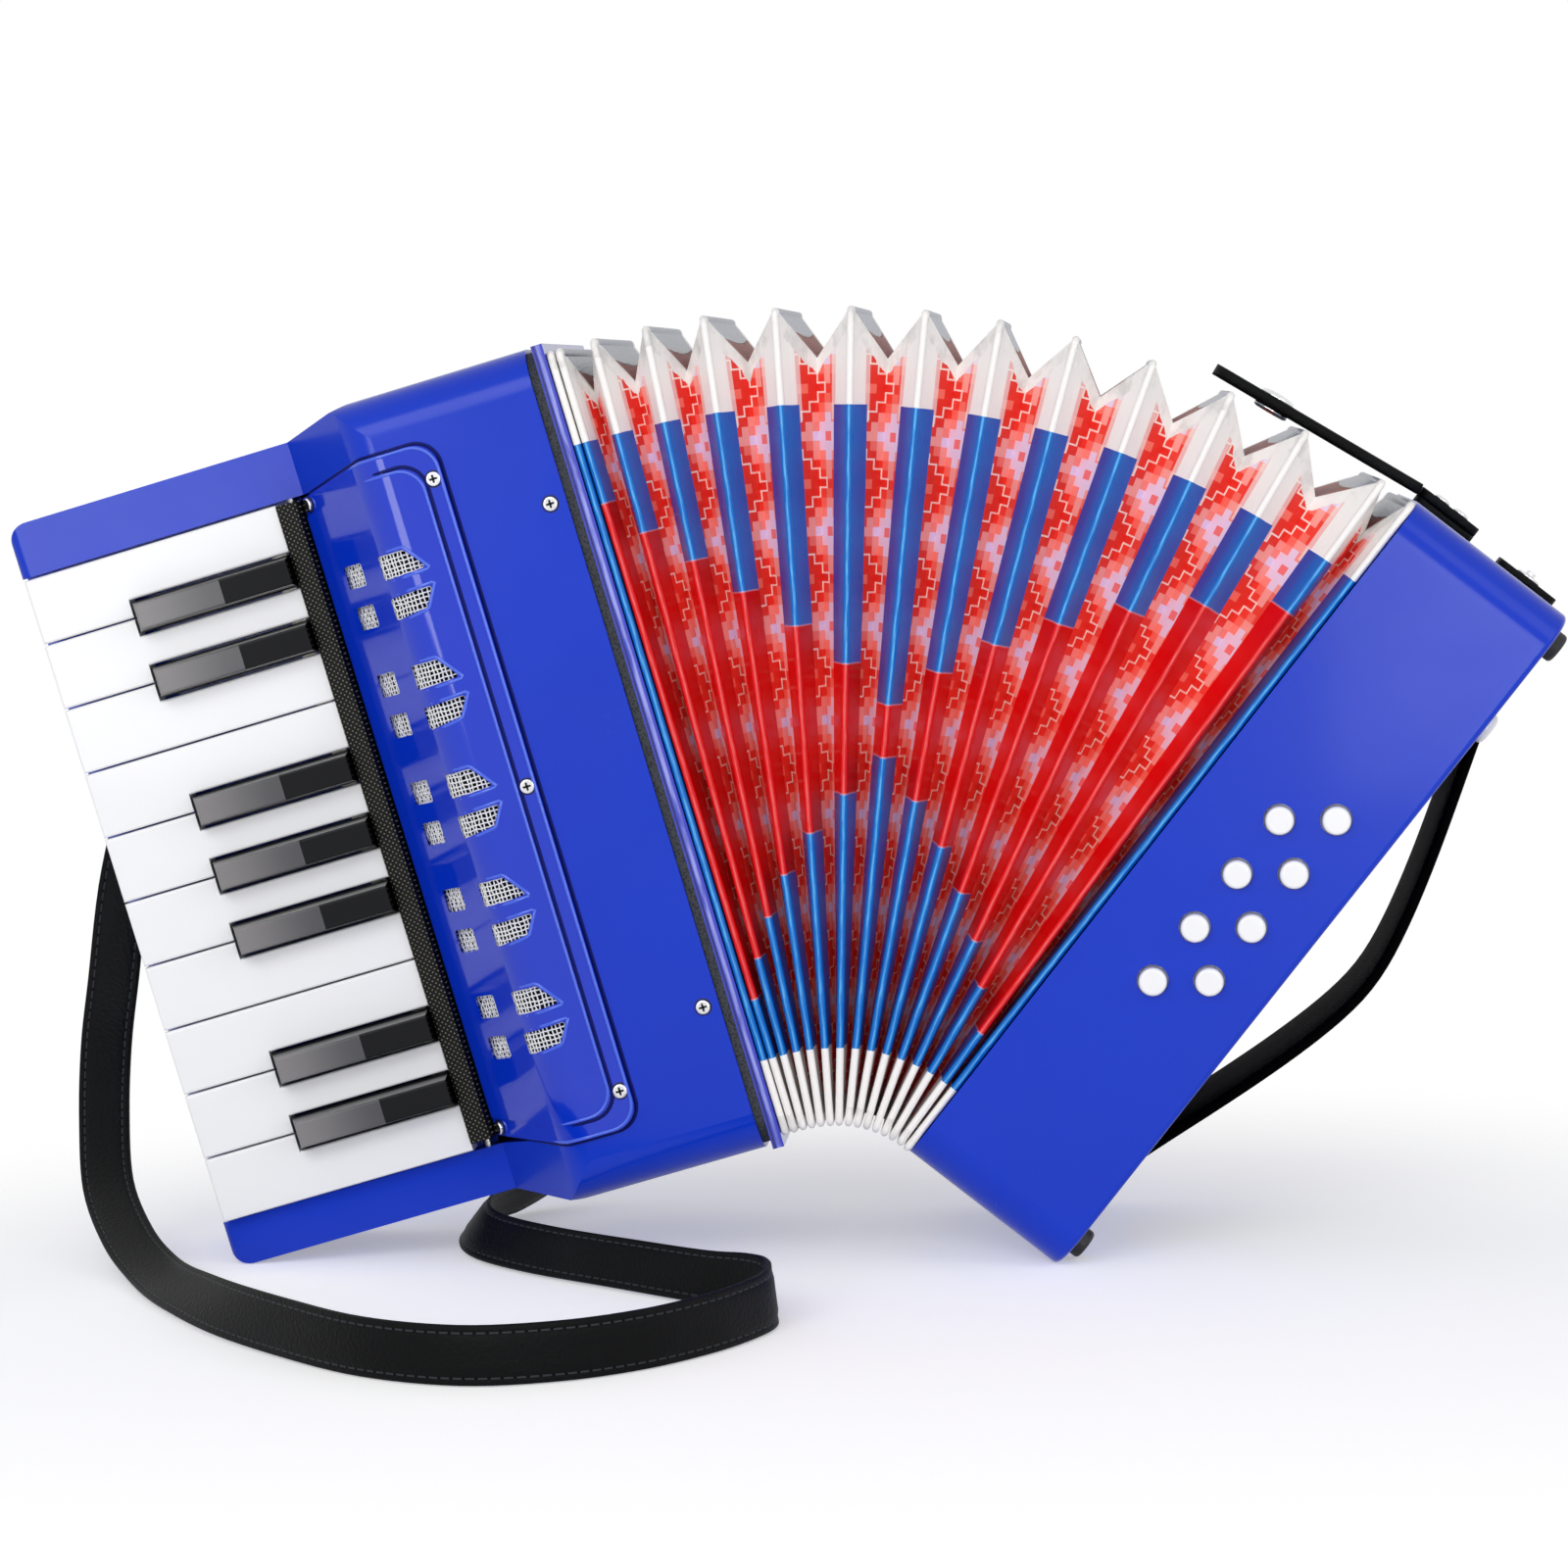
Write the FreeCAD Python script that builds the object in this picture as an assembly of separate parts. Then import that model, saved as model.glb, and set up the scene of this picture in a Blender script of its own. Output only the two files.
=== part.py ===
import FreeCAD, Part
import math
import os

# Child's piano accordion, standing like an arch: the bellows are fanned open at the top and
# held together at the bottom, so it rests on one corner of each end and on its shoulder strap.
# Lengths are millimetres, angles are degrees.
# Each end has its own frame: X across, Y from front to back, Z along the height of the bellows.

Vec = FreeCAD.Vector

# Whole object
case_depth = 99.0
long_edge_radius = 11.0
wall = 2.4
seat_gap = 0.3
face_gap = 0.05
cut_overrun = 5.0
fan_angle = 54.2

# Treble case
treble_height = 225.0
body_width = 50.6
flare_width = 22.0
deck_width = 82.5
deck_height = 215.0
deck_lift = 5.5
deck_front_step = 28.5
deck_thickness = 49.0
ridge_radius = 10.0
back_ridge_radius = 8.0
deck_corner_radius = 6.0
deck_edge_radius = 3.0
gasket_width = 2.4
frame_width = 3.2
frame_bar = 7.0

# Keyboard
key_pitch = 18.6
key_gap = 0.5
key_length = 73.0
key_height = 8.0
key_wall = 1.5
key_overhang = 2.0
key_above_cheek = 5.0
key_edge_radius = 0.7
keyboard_low_margin = 13.6
cheek_clearance = 0.5
key_travel = 4.0
bed_clearance = 1.4
black_width = 9.0
black_length = 46.0
black_rise = 8.0
black_slot_clearance = 0.6
black_bevel = 1.0
neck_height = 6.3
neck_drop = 6.5
neck_length = 7.4
axle_radius = 1.25
axle_clearance = 0.05
axle_setback = 3.0
arm_width = 3.0
arm_height = 3.0
pallet_width = 8.0
pallet_length = 13.0
pallet_height = 2.6
white_arm_length = 41.0
black_arm_length = 59.0
strip_width = 4.7
strip_height = 8.8
strip_over_key = 1.2
spring_thickness = 0.5
spring_width = 4.0
spring_reach = 18.0
spring_foot = 6.0
board_thickness = 3.2
black_after_white_numbers = (1, 2, 4, 5, 6, 8, 9)
white_key_count = 10

# Grille cover
cover_thickness = 2.2
cover_margin_top = 16.0
cover_margin_low = 17.0
cover_right_inset = 29.7
cover_corner_radius = 7.0
cover_low_setback = 3.0
cover_taper = 4.6
field_rise = 0.7
field_inset = 5.1
window_groups = 5
window_pitch = 30.6
window_group_height = 18.0
leaf_width = 13.0
leaf_height = 6.8
small_window_width = 6.0
small_window_height = 6.4
window_bar = 4.3
mesh_thickness = 0.5
rim_width = 5.0

# Screws
screw_head_radius = 2.0
screw_head_height = 0.9
screw_shank_radius = 1.0
screw_length = 5.6
screw_slot_width = 0.6

# Bellows
ridge_count = 15
ridge_pitch = 2.42
ridge_thickness = 2.05
ridge_bar = 3.2
bellows_height = 220.0
bellows_depth = 97.0
bellows_lift = 2.5
bass_drop = 0.5
fold_depth_top = 13.6
fold_depth_low = 16.8
skin_wall = 3.0
skin_inset = 3.5
mitre_gap = 0.3
gap_angle_shares = (0.035, 0.057, 0.064, 0.081, 0.086, 0.084, 0.085, 0.087, 0.091, 0.096, 0.095,
                    0.104, 0.035)

# Bass case
bass_width = 50.5
bass_height = 221.3
bass_outer_edge_radius = 1.5
button_radius = 3.8
button_hole_clearance = 0.5
button_stand = 3.6
button_travel = 3.0
button_flange_radius = 5.4
button_flange_thickness = 1.2
button_stem_radius = 1.6
button_stem_length = 16.0
button_stem_clearance = 0.1
button_pitch = 18.2
button_row_gap = 11.9
button_row_stagger = 9.2
button_row_inset = 22.5
button_first_height = 78.1
button_rows = 2
buttons_per_row = 4
guide_board_thickness = 3.0
air_radius = 4.5
air_stand = 4.2
air_below_top = 36.5
air_front_offset = 24.0
air_stem_length = 14.0
foot_radius = 4.2
foot_height = 3.8
foot_inset_low = 8.2
foot_inset_top = 8.2
foot_spread = 35.0

# Straps
hand_strap_width = 36.0
hand_strap_thickness = 3.0
hand_strap_below_top = 37.3
hand_strap_low = 36.0
hand_strap_bulge = 23.0
hand_strap_tab = 12.0
rivet_radius = 2.4
rivet_height = 1.0
closure_width = 14.0
closure_thickness = 2.6
closure_length = 64.0
closure_angle = 7.1
closure_plate_thickness = 2.4
closure_anchor_length = 19.0
snap_radius = 5.0
snap_height = 1.6
snap_reach = 45.0
park_tab_length = 19.0
low_strap_width = 16.0
low_strap_thickness = 2.2
low_strap_gap = 0.35
low_strap_tab = 16.0
strap_width = 15.0
strap_thickness = 2.4
strap_reach = 100.0
bracket_length = 12.0
bracket_thickness = 1.6
bracket_centre = 40.0
bracket_inset = 30.0


# Measures that follow from the sizes above
air_height = bass_height - air_below_top
hand_strap_top = bass_height - hand_strap_below_top
front_y = -case_depth / 2
back_y = case_depth / 2
body_left = -(gasket_width + frame_width / 2 + body_width)
body_right = body_left + body_width
deck_right = body_left - flare_width
deck_left = deck_right - deck_width
deck_front = front_y + deck_front_step
deck_back = deck_front + deck_thickness
deck_top = deck_lift + deck_height
key_front_x = deck_left + key_overhang
key_back_x = key_front_x + key_length
key_top_y = deck_front - key_above_cheek
key_under_y = key_top_y + key_height
bed_y = key_under_y + key_travel + bed_clearance
keyboard_low = deck_lift + keyboard_low_margin
keyboard_top = keyboard_low + white_key_count * key_pitch
axle_x = key_back_x + axle_setback
neck_top_y = key_top_y + neck_drop
axle_y = neck_top_y + neck_height / 2
neck_right_x = key_back_x + neck_length
pallet_y = axle_y + arm_height / 2 + pallet_height
board_y = pallet_y + seat_gap
black_top_y = key_top_y - black_rise
black_back_x = key_back_x - seat_gap
strip_front_y = key_top_y - strip_over_key - strip_height
cover_right = body_right - cover_right_inset
cover_low = cover_margin_low
cover_top = treble_height - cover_margin_top
frame_right = body_right + gasket_width + frame_width
first_ridge_x = frame_right + face_gap + ridge_pitch / 2
slope_run = math.hypot(flare_width, deck_front_step)
slope_along = Vec(flare_width / slope_run, -deck_front_step / slope_run, 0)
slope_out = Vec(slope_along.y, -slope_along.x, 0)
slope_turn = math.degrees(math.atan2(slope_out.x, -slope_out.y))


def block(low, high):
    return Part.makeBox(high.x - low.x, high.y - low.y, high.z - low.z, low)


def cylinder(radius, start, direction, length):
    return Part.makeCylinder(radius, length, start, direction)


def rounded_wire(points, radii):
    # Closed outline through the points, each corner an arc of its own radius.
    edges = []
    starts = []
    ends = []
    middles = []
    count = len(points)
    for index, corner in enumerate(points):
        before = (points[index - 1] - corner).normalize()
        after = (points[(index + 1) % count] - corner).normalize()
        radius = radii[index]
        if radius == 0:
            starts.append(corner)
            ends.append(corner)
            middles.append(None)
            continue
        half = before.getAngle(after) / 2
        reach = radius / math.tan(half)
        bisector = (before + after).normalize()
        starts.append(corner + before * reach)
        ends.append(corner + after * reach)
        middles.append(corner + bisector * (radius / math.sin(half) - radius))
    for index in range(count):
        if middles[index] is not None:
            edges.append(Part.Arc(starts[index], middles[index], ends[index]).toShape())
        following = (index + 1) % count
        if (starts[following] - ends[index]).Length > 1e-6:
            edges.append(Part.LineSegment(ends[index], starts[following]).toShape())
    return Part.Wire(edges)


def prism(points, radii, direction):
    return Part.Face(rounded_wire(points, radii)).extrude(direction)


def shrunk(points, radii, inset):
    # The outline's face, moved inwards all round by the inset.
    wire = rounded_wire(points, radii)
    if inset == 0:
        return Part.Face(wire)
    return Part.Face(wire.makeOffset2D(-inset))


def joined(shapes):
    whole = shapes[0].fuse(shapes[1:]) if len(shapes) > 1 else shapes[0]
    return whole.removeSplitter()


def group(shapes):
    solids = []
    for shape in shapes:
        solids.extend(shape.Solids)
    return Part.makeCompound(solids)


# Treble case

def treble_outer(inset):
    # Three outlines cut one shape: seen from above, from the front and along the body.
    top_view = shrunk(
        [Vec(body_right + cut_overrun, front_y, 0), Vec(body_left, front_y, 0),
         Vec(deck_right, deck_front, 0), Vec(deck_left, deck_front, 0),
         Vec(deck_left, deck_back, 0), Vec(deck_right, deck_back, 0),
         Vec(body_left, back_y, 0), Vec(body_right + cut_overrun, back_y, 0)],
        [0, ridge_radius, 0, deck_edge_radius, deck_edge_radius, 0, back_ridge_radius, 0],
        inset)
    front_view = shrunk(
        [Vec(body_right + cut_overrun, 0, 0), Vec(body_left, 0, 0),
         Vec(deck_right, 0, deck_lift), Vec(deck_left, 0, deck_lift),
         Vec(deck_left, 0, deck_top), Vec(deck_right, 0, deck_top),
         Vec(body_left, 0, treble_height), Vec(body_right + cut_overrun, 0, treble_height)],
        [0, 0, 0, deck_corner_radius, deck_corner_radius, 0, 0, 0],
        inset)
    end_view = shrunk(
        [Vec(deck_left, front_y, 0), Vec(deck_left, back_y, 0),
         Vec(deck_left, back_y, treble_height), Vec(deck_left, front_y, treble_height)],
        [long_edge_radius] * 4,
        inset)
    tall = top_view.extrude(Vec(0, 0, treble_height))
    front_view.translate(Vec(0, front_y, 0))
    deep = front_view.extrude(Vec(0, case_depth, 0))
    long = end_view.extrude(Vec(body_right - deck_left, 0, 0))
    return tall.common(deep).common(long)


def key_well(grow):
    return block(
        Vec(deck_left - cut_overrun, front_y, keyboard_low - cheek_clearance - grow),
        Vec(deck_right - grow, bed_y + grow, keyboard_top + cheek_clearance + grow))


def action_opening():
    # Below the grille cover the case is open, for the key arms and for the sound.
    return block(
        Vec(deck_right - cut_overrun, front_y - cut_overrun, keyboard_low - cheek_clearance),
        Vec(cover_right - rim_width, bed_y, keyboard_top + cheek_clearance))


def axle_rod(clearance):
    # The keys' axle, held at both ends in the cheeks of the case.
    low = keyboard_low - cheek_clearance - 0.8 * wall - clearance
    high = keyboard_top + cheek_clearance + 0.8 * wall + clearance
    return cylinder(axle_radius + clearance, Vec(axle_x, axle_y, low), Vec(0, 0, 1), high - low)


def screw_places():
    # Each place is a point on the surface and the direction that the head faces.
    forward = Vec(0, -1, 0)
    cover_face = front_y - cover_thickness
    column = cover_right - field_inset / 2
    middle = (cover_low + cover_top) / 2
    low_x = deck_right + cover_low_setback * slope_along.x
    low_y = deck_front + cover_low_setback * slope_along.y
    low_point = Vec(low_x, low_y, 0) + slope_out * cover_thickness + slope_along * field_inset / 2
    case_column = body_right - screw_head_radius - wall
    case_low = cover_low + 5 * field_inset
    case_top = cover_top - 5 * field_inset
    places = [(Vec(column, cover_face, cover_top - 2 * field_inset), forward),
              (Vec(column, cover_face, middle), forward),
              (Vec(column, cover_face, cover_low + 2 * field_inset), forward)]
    for height in (cover_low + cover_taper + screw_head_radius,
                   cover_top - cover_taper - screw_head_radius):
        places.append((low_point + Vec(0, 0, height), slope_out))
    for height in (case_low, case_top):
        places.append((Vec(case_column, front_y, height), forward))
    return places


def screw_holes(clearance):
    holes = []
    for point, facing in screw_places():
        start = point + facing * cut_overrun
        length = cut_overrun + screw_length + clearance
        holes.append(cylinder(screw_shank_radius + clearance, start, facing * -1, length))
    return group(holes)


def make_treble_case():
    hollow = treble_outer(wall).cut(key_well(wall))
    case = treble_outer(0).cut(hollow)
    case = case.cut(key_well(0)).cut(action_opening())
    return case.cut(axle_rod(face_gap / 2)).cut(screw_holes(face_gap))


def make_treble_screws():
    screws = []
    for point, facing in screw_places():
        head = cylinder(screw_head_radius, point, facing, screw_head_height)
        rim = [edge for edge in head.Edges if edge.Closed
               and (edge.CenterOfMass - point).Length > screw_head_height / 2]
        head = head.makeFillet(screw_head_height / 2, rim)
        shank = cylinder(screw_shank_radius, point, facing * -1, screw_length)
        across = facing.cross(Vec(0, 0, 1))
        slots = []
        for along in (across, Vec(0, 0, 1)):
            side = facing.cross(along)
            corner = (point + facing * (screw_head_height / 2) - along * screw_head_radius / 2
                      - side * screw_slot_width / 2)
            outline = Part.makePolygon([
                corner, corner + along * screw_head_radius,
                corner + along * screw_head_radius + side * screw_slot_width,
                corner + side * screw_slot_width, corner])
            slots.append(Part.Face(outline).extrude(facing * screw_head_height))
        screws.append(head.fuse(shank).cut(slots[0]).cut(slots[1]))
    return group(screws)


# Grille cover, the mesh behind it and the strip at its foot

def cover_band(lift, thickness, right_x, low_along):
    # A plate that follows the case's front and slope, cut to a width; lift is off the case.
    def lifted(height):
        outward = slope_out * height
        low = Vec(deck_right, deck_front, 0) + slope_along * low_along + outward
        meet_y = front_y - height
        shift = height * math.tan(math.radians(slope_turn) / 2)
        bend = Vec(body_left - shift, meet_y, 0)
        return low, bend, Vec(right_x, meet_y, 0)
    low_in, bend_in, right_in = lifted(lift)
    low_out, bend_out, right_out = lifted(lift + thickness)
    outline = [low_in, low_out, bend_out, right_out, right_in, bend_in]
    radii = [0, 0, ridge_radius + lift + thickness, 0, 0, ridge_radius + lift]
    return prism(outline, radii, Vec(0, 0, treble_height))


def cover_outline(inset):
    return prism(
        [Vec(deck_right, front_y - deck_front_step, cover_low + cover_taper + inset),
         Vec(body_left, front_y - deck_front_step, cover_low + inset),
         Vec(cover_right - inset, front_y - deck_front_step, cover_low + inset),
         Vec(cover_right - inset, front_y - deck_front_step, cover_top - inset),
         Vec(body_left, front_y - deck_front_step, cover_top - inset),
         Vec(deck_right, front_y - deck_front_step, cover_top - cover_taper - inset)],
        [0, 0, cover_corner_radius, cover_corner_radius, 0, 0],
        Vec(0, case_depth, 0))


def group_middles():
    middle = (cover_low + cover_top) / 2
    span = (window_groups - 1) * window_pitch
    return [middle - span / 2 + index * window_pitch for index in range(window_groups)]


def window_outlines(middle):
    # Four openings of one group as outlines across and along: two leaves and two small ones.
    top = middle + window_group_height / 2
    low = middle - window_group_height / 2
    leaf_left = body_left - small_window_width / 2
    small_left = leaf_left - window_bar - 1.3 * small_window_width
    upper_leaf = [(leaf_left, top), (leaf_left, top - leaf_height),
                  (leaf_left + leaf_width, top - 0.9 * leaf_height),
                  (leaf_left + 0.6 * leaf_width, top)]
    lower_leaf = [(leaf_left, low), (leaf_left + 0.75 * leaf_width, low + 0.2 * leaf_height),
                  (leaf_left + leaf_width, low + leaf_height),
                  (leaf_left, low + 0.9 * leaf_height)]
    upper_small = [(small_left, top), (small_left, top - small_window_height),
                   (small_left + small_window_width, top - small_window_height),
                   (small_left + small_window_width, top)]
    lower_small = [(small_left, low), (small_left + small_window_width, low),
                   (small_left + small_window_width, low + small_window_height),
                   (small_left, low + small_window_height)]
    return [upper_leaf, lower_leaf, upper_small, lower_small]


def window_cuts():
    cuts = []
    for middle in group_middles():
        for outline in window_outlines(middle):
            points = [Vec(x, front_y - deck_front_step, z) for x, z in outline]
            cuts.append(prism(points, [window_bar / 6] * 4, Vec(0, case_depth, 0)))
    return cuts


def make_grille_cover():
    plate = cover_band(0, cover_thickness, cover_right, cover_low_setback)
    plate = plate.common(cover_outline(0))
    field = cover_band(cover_thickness / 2, cover_thickness / 2 + field_rise, cover_right,
                       cover_low_setback)
    field = field.common(cover_outline(field_inset))
    cover = plate.fuse(field).removeSplitter()
    return cover.cut(window_cuts()).cut(screw_holes(face_gap))


def make_grille_mesh():
    sheet = cover_band(-mesh_thickness - seat_gap, mesh_thickness,
                       cover_right - rim_width - seat_gap, cover_low_setback)
    margin = block(
        Vec(deck_right, front_y - cut_overrun, keyboard_low + rim_width),
        Vec(cover_right, back_y, keyboard_top - rim_width))
    return sheet.common(margin).cut(screw_holes(seat_gap))


def make_key_strip():
    # Perforated strip behind the keys; its foot meets the low edge of the cover.
    left = key_back_x + seat_gap / 2
    right = left + strip_width
    back = strip_front_y + strip_height
    edge_back = (Vec(deck_right, deck_front, 0) + slope_along * (cover_low_setback - face_gap))
    edge_front = edge_back + slope_out * cover_thickness
    outline = [Vec(left, strip_front_y, 0), Vec(right, strip_front_y, 0),
               Vec(right, edge_front.y, 0), edge_front, edge_back,
               Vec((left + right) / 2, edge_back.y, 0), Vec((left + right) / 2, back, 0),
               Vec(left, back, 0)]
    round_front = strip_width / 4
    strip = prism(outline, [round_front, round_front, 0, 0, 0, 0, 0, round_front / 2],
                  Vec(0, 0, cover_top - cover_low - 2 * cover_taper))
    strip.translate(Vec(0, 0, cover_low + cover_taper))
    return strip


# Keyboard

def key_low(number):
    # Keys are counted from the top of the keyboard, which is the left end when it is played.
    return keyboard_top - number * key_pitch


def key_action(middle_z, arm_length, top_y):
    # Neck round the axle, arm under the grille and the pallet that it lifts.
    neck = block(Vec(key_back_x - key_wall, neck_top_y, middle_z - arm_width),
                 Vec(neck_right_x, neck_top_y + neck_height, middle_z + arm_width))
    arm = block(Vec(neck_right_x - key_wall, axle_y - arm_height / 2, middle_z - arm_width / 2),
                Vec(axle_x + arm_length, axle_y + arm_height / 2, middle_z + arm_width / 2))
    pallet = block(
        Vec(axle_x + arm_length - pallet_length, axle_y + arm_height / 2,
            middle_z - pallet_width / 2),
        Vec(axle_x + arm_length, pallet_y, middle_z + pallet_width / 2))
    web = block(Vec(key_back_x - 2 * key_wall, top_y + key_wall, middle_z - arm_width),
                Vec(key_back_x, neck_top_y + neck_height, middle_z + arm_width))
    return [neck, arm, pallet, web]


def make_white_key(number):
    low = key_low(number) + key_gap / 2
    high = key_low(number - 1) - key_gap / 2
    cap = block(Vec(key_front_x, key_top_y, low), Vec(key_back_x, key_under_y, high))
    slot_half = black_width / 2 + black_slot_clearance
    slots = []
    sides = []
    if number in black_after_white_numbers:
        sides.append(key_low(number))
    if number - 1 in black_after_white_numbers:
        sides.append(key_low(number - 1))
    tail_low = low
    tail_high = high
    for side in sides:
        slots.append(block(
            Vec(key_front_x + key_length - black_length - black_slot_clearance,
                key_top_y - cut_overrun, side - slot_half),
            Vec(key_back_x + cut_overrun, key_under_y + cut_overrun, side + slot_half)))
        if side < (low + high) / 2:
            tail_low = side + slot_half
        else:
            tail_high = side - slot_half
    hollow = block(
        Vec(key_front_x + key_wall, key_top_y + key_wall, low + key_wall),
        Vec(key_back_x - black_length - 2 * key_wall, key_under_y + cut_overrun, high - key_wall))
    tail_hollow = block(
        Vec(key_back_x - black_length - 3 * key_wall, key_top_y + key_wall, tail_low + key_wall),
        Vec(key_back_x - 2 * key_wall, key_under_y + cut_overrun, tail_high - key_wall))
    cap = cap.cut(slots) if slots else cap
    front_edges = [edge for edge in cap.Edges
                   if edge.BoundBox.XMax < key_front_x + face_gap
                   and edge.BoundBox.YMax < key_under_y - face_gap
                   or edge.BoundBox.YMax < key_top_y + face_gap
                   and edge.BoundBox.XLength > key_length / 3]
    cap = cap.makeFillet(key_edge_radius, front_edges)
    cap = cap.cut([hollow, tail_hollow])
    middle = (tail_low + tail_high) / 2
    return joined([cap] + key_action(middle, white_arm_length, key_top_y)).cut(axle_rod(axle_clearance))


def make_black_key(order):
    middle = key_low(black_after_white_numbers[order - 1])
    half = black_width / 2
    front = key_back_x - black_length
    low_face = Part.makePolygon([
        Vec(front, key_under_y, middle - half), Vec(black_back_x, key_under_y, middle - half),
        Vec(black_back_x, key_under_y, middle + half), Vec(front, key_under_y, middle + half),
        Vec(front, key_under_y, middle - half)])
    waist_y = key_top_y
    slant = black_rise / 4
    waist = Part.makePolygon([
        Vec(front, waist_y, middle - half), Vec(black_back_x, waist_y, middle - half),
        Vec(black_back_x, waist_y, middle + half), Vec(front, waist_y, middle + half),
        Vec(front, waist_y, middle - half)])
    top_half = half - black_bevel
    top_face = Part.makePolygon([
        Vec(front + slant, black_top_y, middle - top_half),
        Vec(black_back_x, black_top_y, middle - top_half),
        Vec(black_back_x, black_top_y, middle + top_half),
        Vec(front + slant, black_top_y, middle + top_half),
        Vec(front + slant, black_top_y, middle - top_half)])
    foot = Part.makeLoft([low_face, waist], True, True)
    head = Part.makeLoft([waist, top_face], True, True)
    top_edges = [edge for edge in head.Edges if edge.BoundBox.YMax < black_top_y + face_gap
                 and edge.CenterOfMass.x < black_back_x - face_gap]
    head = head.makeFillet(black_bevel / 2, top_edges)
    hollow = block(
        Vec(front + 2 * key_wall, key_top_y + key_wall, middle - half + key_wall),
        Vec(black_back_x - 2 * key_wall, key_under_y + cut_overrun, middle + half - key_wall))
    body = joined([foot, head]).cut(hollow)
    return joined([body] + key_action(middle, black_arm_length, key_top_y)).cut(axle_rod(axle_clearance))


def key_middles():
    middles = []
    for number in range(1, white_key_count + 1):
        low = key_low(number)
        high = key_low(number - 1)
        if number in black_after_white_numbers:
            low = low + black_width / 2 + black_slot_clearance
        if number - 1 in black_after_white_numbers:
            high = high - black_width / 2 - black_slot_clearance
        middles.append((low + high) / 2)
    for number in black_after_white_numbers:
        middles.append(key_low(number))
    return middles


def make_key_springs():
    # One comb of leaf springs: a foot strip on the bed and a finger below each key.
    foot_right = key_back_x - key_wall
    foot_left = foot_right - spring_foot
    foot = block(Vec(foot_left, bed_y - spring_thickness - face_gap, keyboard_low),
                 Vec(foot_right, bed_y - face_gap, keyboard_top))
    rise = key_under_y + seat_gap
    pieces = [foot]
    for middle in key_middles():
        points = [Vec(foot_left + face_gap, bed_y - face_gap, middle - spring_width / 2),
                  Vec(foot_left - spring_reach, rise + spring_thickness, middle - spring_width / 2),
                  Vec(foot_left - spring_reach, rise, middle - spring_width / 2),
                  Vec(foot_left + face_gap, bed_y - spring_thickness - face_gap,
                      middle - spring_width / 2)]
        pieces.append(prism(points, [0] * 4, Vec(0, 0, spring_width)))
    return joined(pieces)


def make_treble_reed_board():
    # Board below the pallets with one slot for each, and two reed blocks behind it.
    board = block(Vec(neck_right_x + cut_overrun, board_y, 0),
                  Vec(body_right - wall, board_y + board_thickness, treble_height))
    board = board.common(treble_outer(wall + seat_gap))
    slots = []
    for index, middle in enumerate(key_middles()):
        arm = white_arm_length if index < white_key_count else black_arm_length
        right = axle_x + arm - key_wall
        slots.append(block(
            Vec(right - pallet_length + 2 * key_wall, board_y - cut_overrun,
                middle - arm_width),
            Vec(right, board_y + cut_overrun, middle + arm_width)))
    board = board.cut(slots)
    blocks = []
    for arm in (white_arm_length, black_arm_length):
        right = axle_x + arm
        wood = block(Vec(right - pallet_length, board_y + board_thickness, keyboard_low),
                     Vec(right, back_y - 3 * wall, keyboard_top))
        cells = []
        cell_pitch = (keyboard_top - keyboard_low) / white_key_count
        for cell in range(white_key_count):
            start = keyboard_low + cell * cell_pitch + key_wall
            cells.append(block(
                Vec(right - pallet_length + key_wall, board_y + board_thickness + key_wall, start),
                Vec(right + cut_overrun, back_y - 3 * wall - key_wall,
                    start + cell_pitch - 2 * key_wall)))
        wood = wood.cut(cells)
        plate = block(Vec(right + face_gap, board_y + board_thickness + key_wall / 2, keyboard_low),
                      Vec(right + key_wall / 2, back_y - 3 * wall - key_wall / 2, keyboard_top))
        blocks.extend([wood, plate])
    return group([board] + blocks)


# Bellows end frames

def mitred_ring(left, right, height, depth, bar, base_z, gap):
    # Four bars with mitred corners round a rectangle, seen along X.
    half = depth / 2
    corners_out = [Vec(left, -half, base_z), Vec(left, half, base_z),
                   Vec(left, half, base_z + height), Vec(left, -half, base_z + height)]
    corners_in = [Vec(left, -half + bar, base_z + bar), Vec(left, half - bar, base_z + bar),
                  Vec(left, half - bar, base_z + height - bar),
                  Vec(left, -half + bar, base_z + height - bar)]
    bars = []
    for index in range(4):
        following = (index + 1) % 4
        along = (corners_out[following] - corners_out[index]).normalize()
        back_off = along * (gap / 2 * math.sqrt(2))
        outline = Part.makePolygon([
            corners_out[index] + back_off, corners_out[following] - back_off,
            corners_in[following] - back_off, corners_in[index] + back_off,
            corners_out[index] + back_off])
        bars.append(Part.Face(outline).extrude(Vec(right - left, 0, 0)))
    return bars


def make_treble_frame():
    left = body_right + gasket_width + face_gap
    return group(mitred_ring(left, frame_right, treble_height - 2 * face_gap, case_depth - wall,
                             frame_bar, face_gap, 0))


def make_treble_gasket():
    outer = prism(
        [Vec(body_right + face_gap, front_y + wall / 2, wall / 2),
         Vec(body_right + face_gap, back_y - wall / 2, wall / 2),
         Vec(body_right + face_gap, back_y - wall / 2, treble_height - wall / 2),
         Vec(body_right + face_gap, front_y + wall / 2, treble_height - wall / 2)],
        [long_edge_radius - wall / 2] * 4, Vec(gasket_width - face_gap, 0, 0))
    hole = block(Vec(body_right - cut_overrun, front_y + 3 * wall, 3 * wall),
                 Vec(body_right + cut_overrun, back_y - 3 * wall, treble_height - 3 * wall))
    return outer.cut(hole)


# Bellows

def ridge_bars():
    return mitred_ring(-ridge_thickness / 2, ridge_thickness / 2, bellows_height, bellows_depth,
                       ridge_bar, 0, mitre_gap)


def turned(angle):
    return FreeCAD.Rotation(Vec(0, 1, 0), angle)


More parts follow.
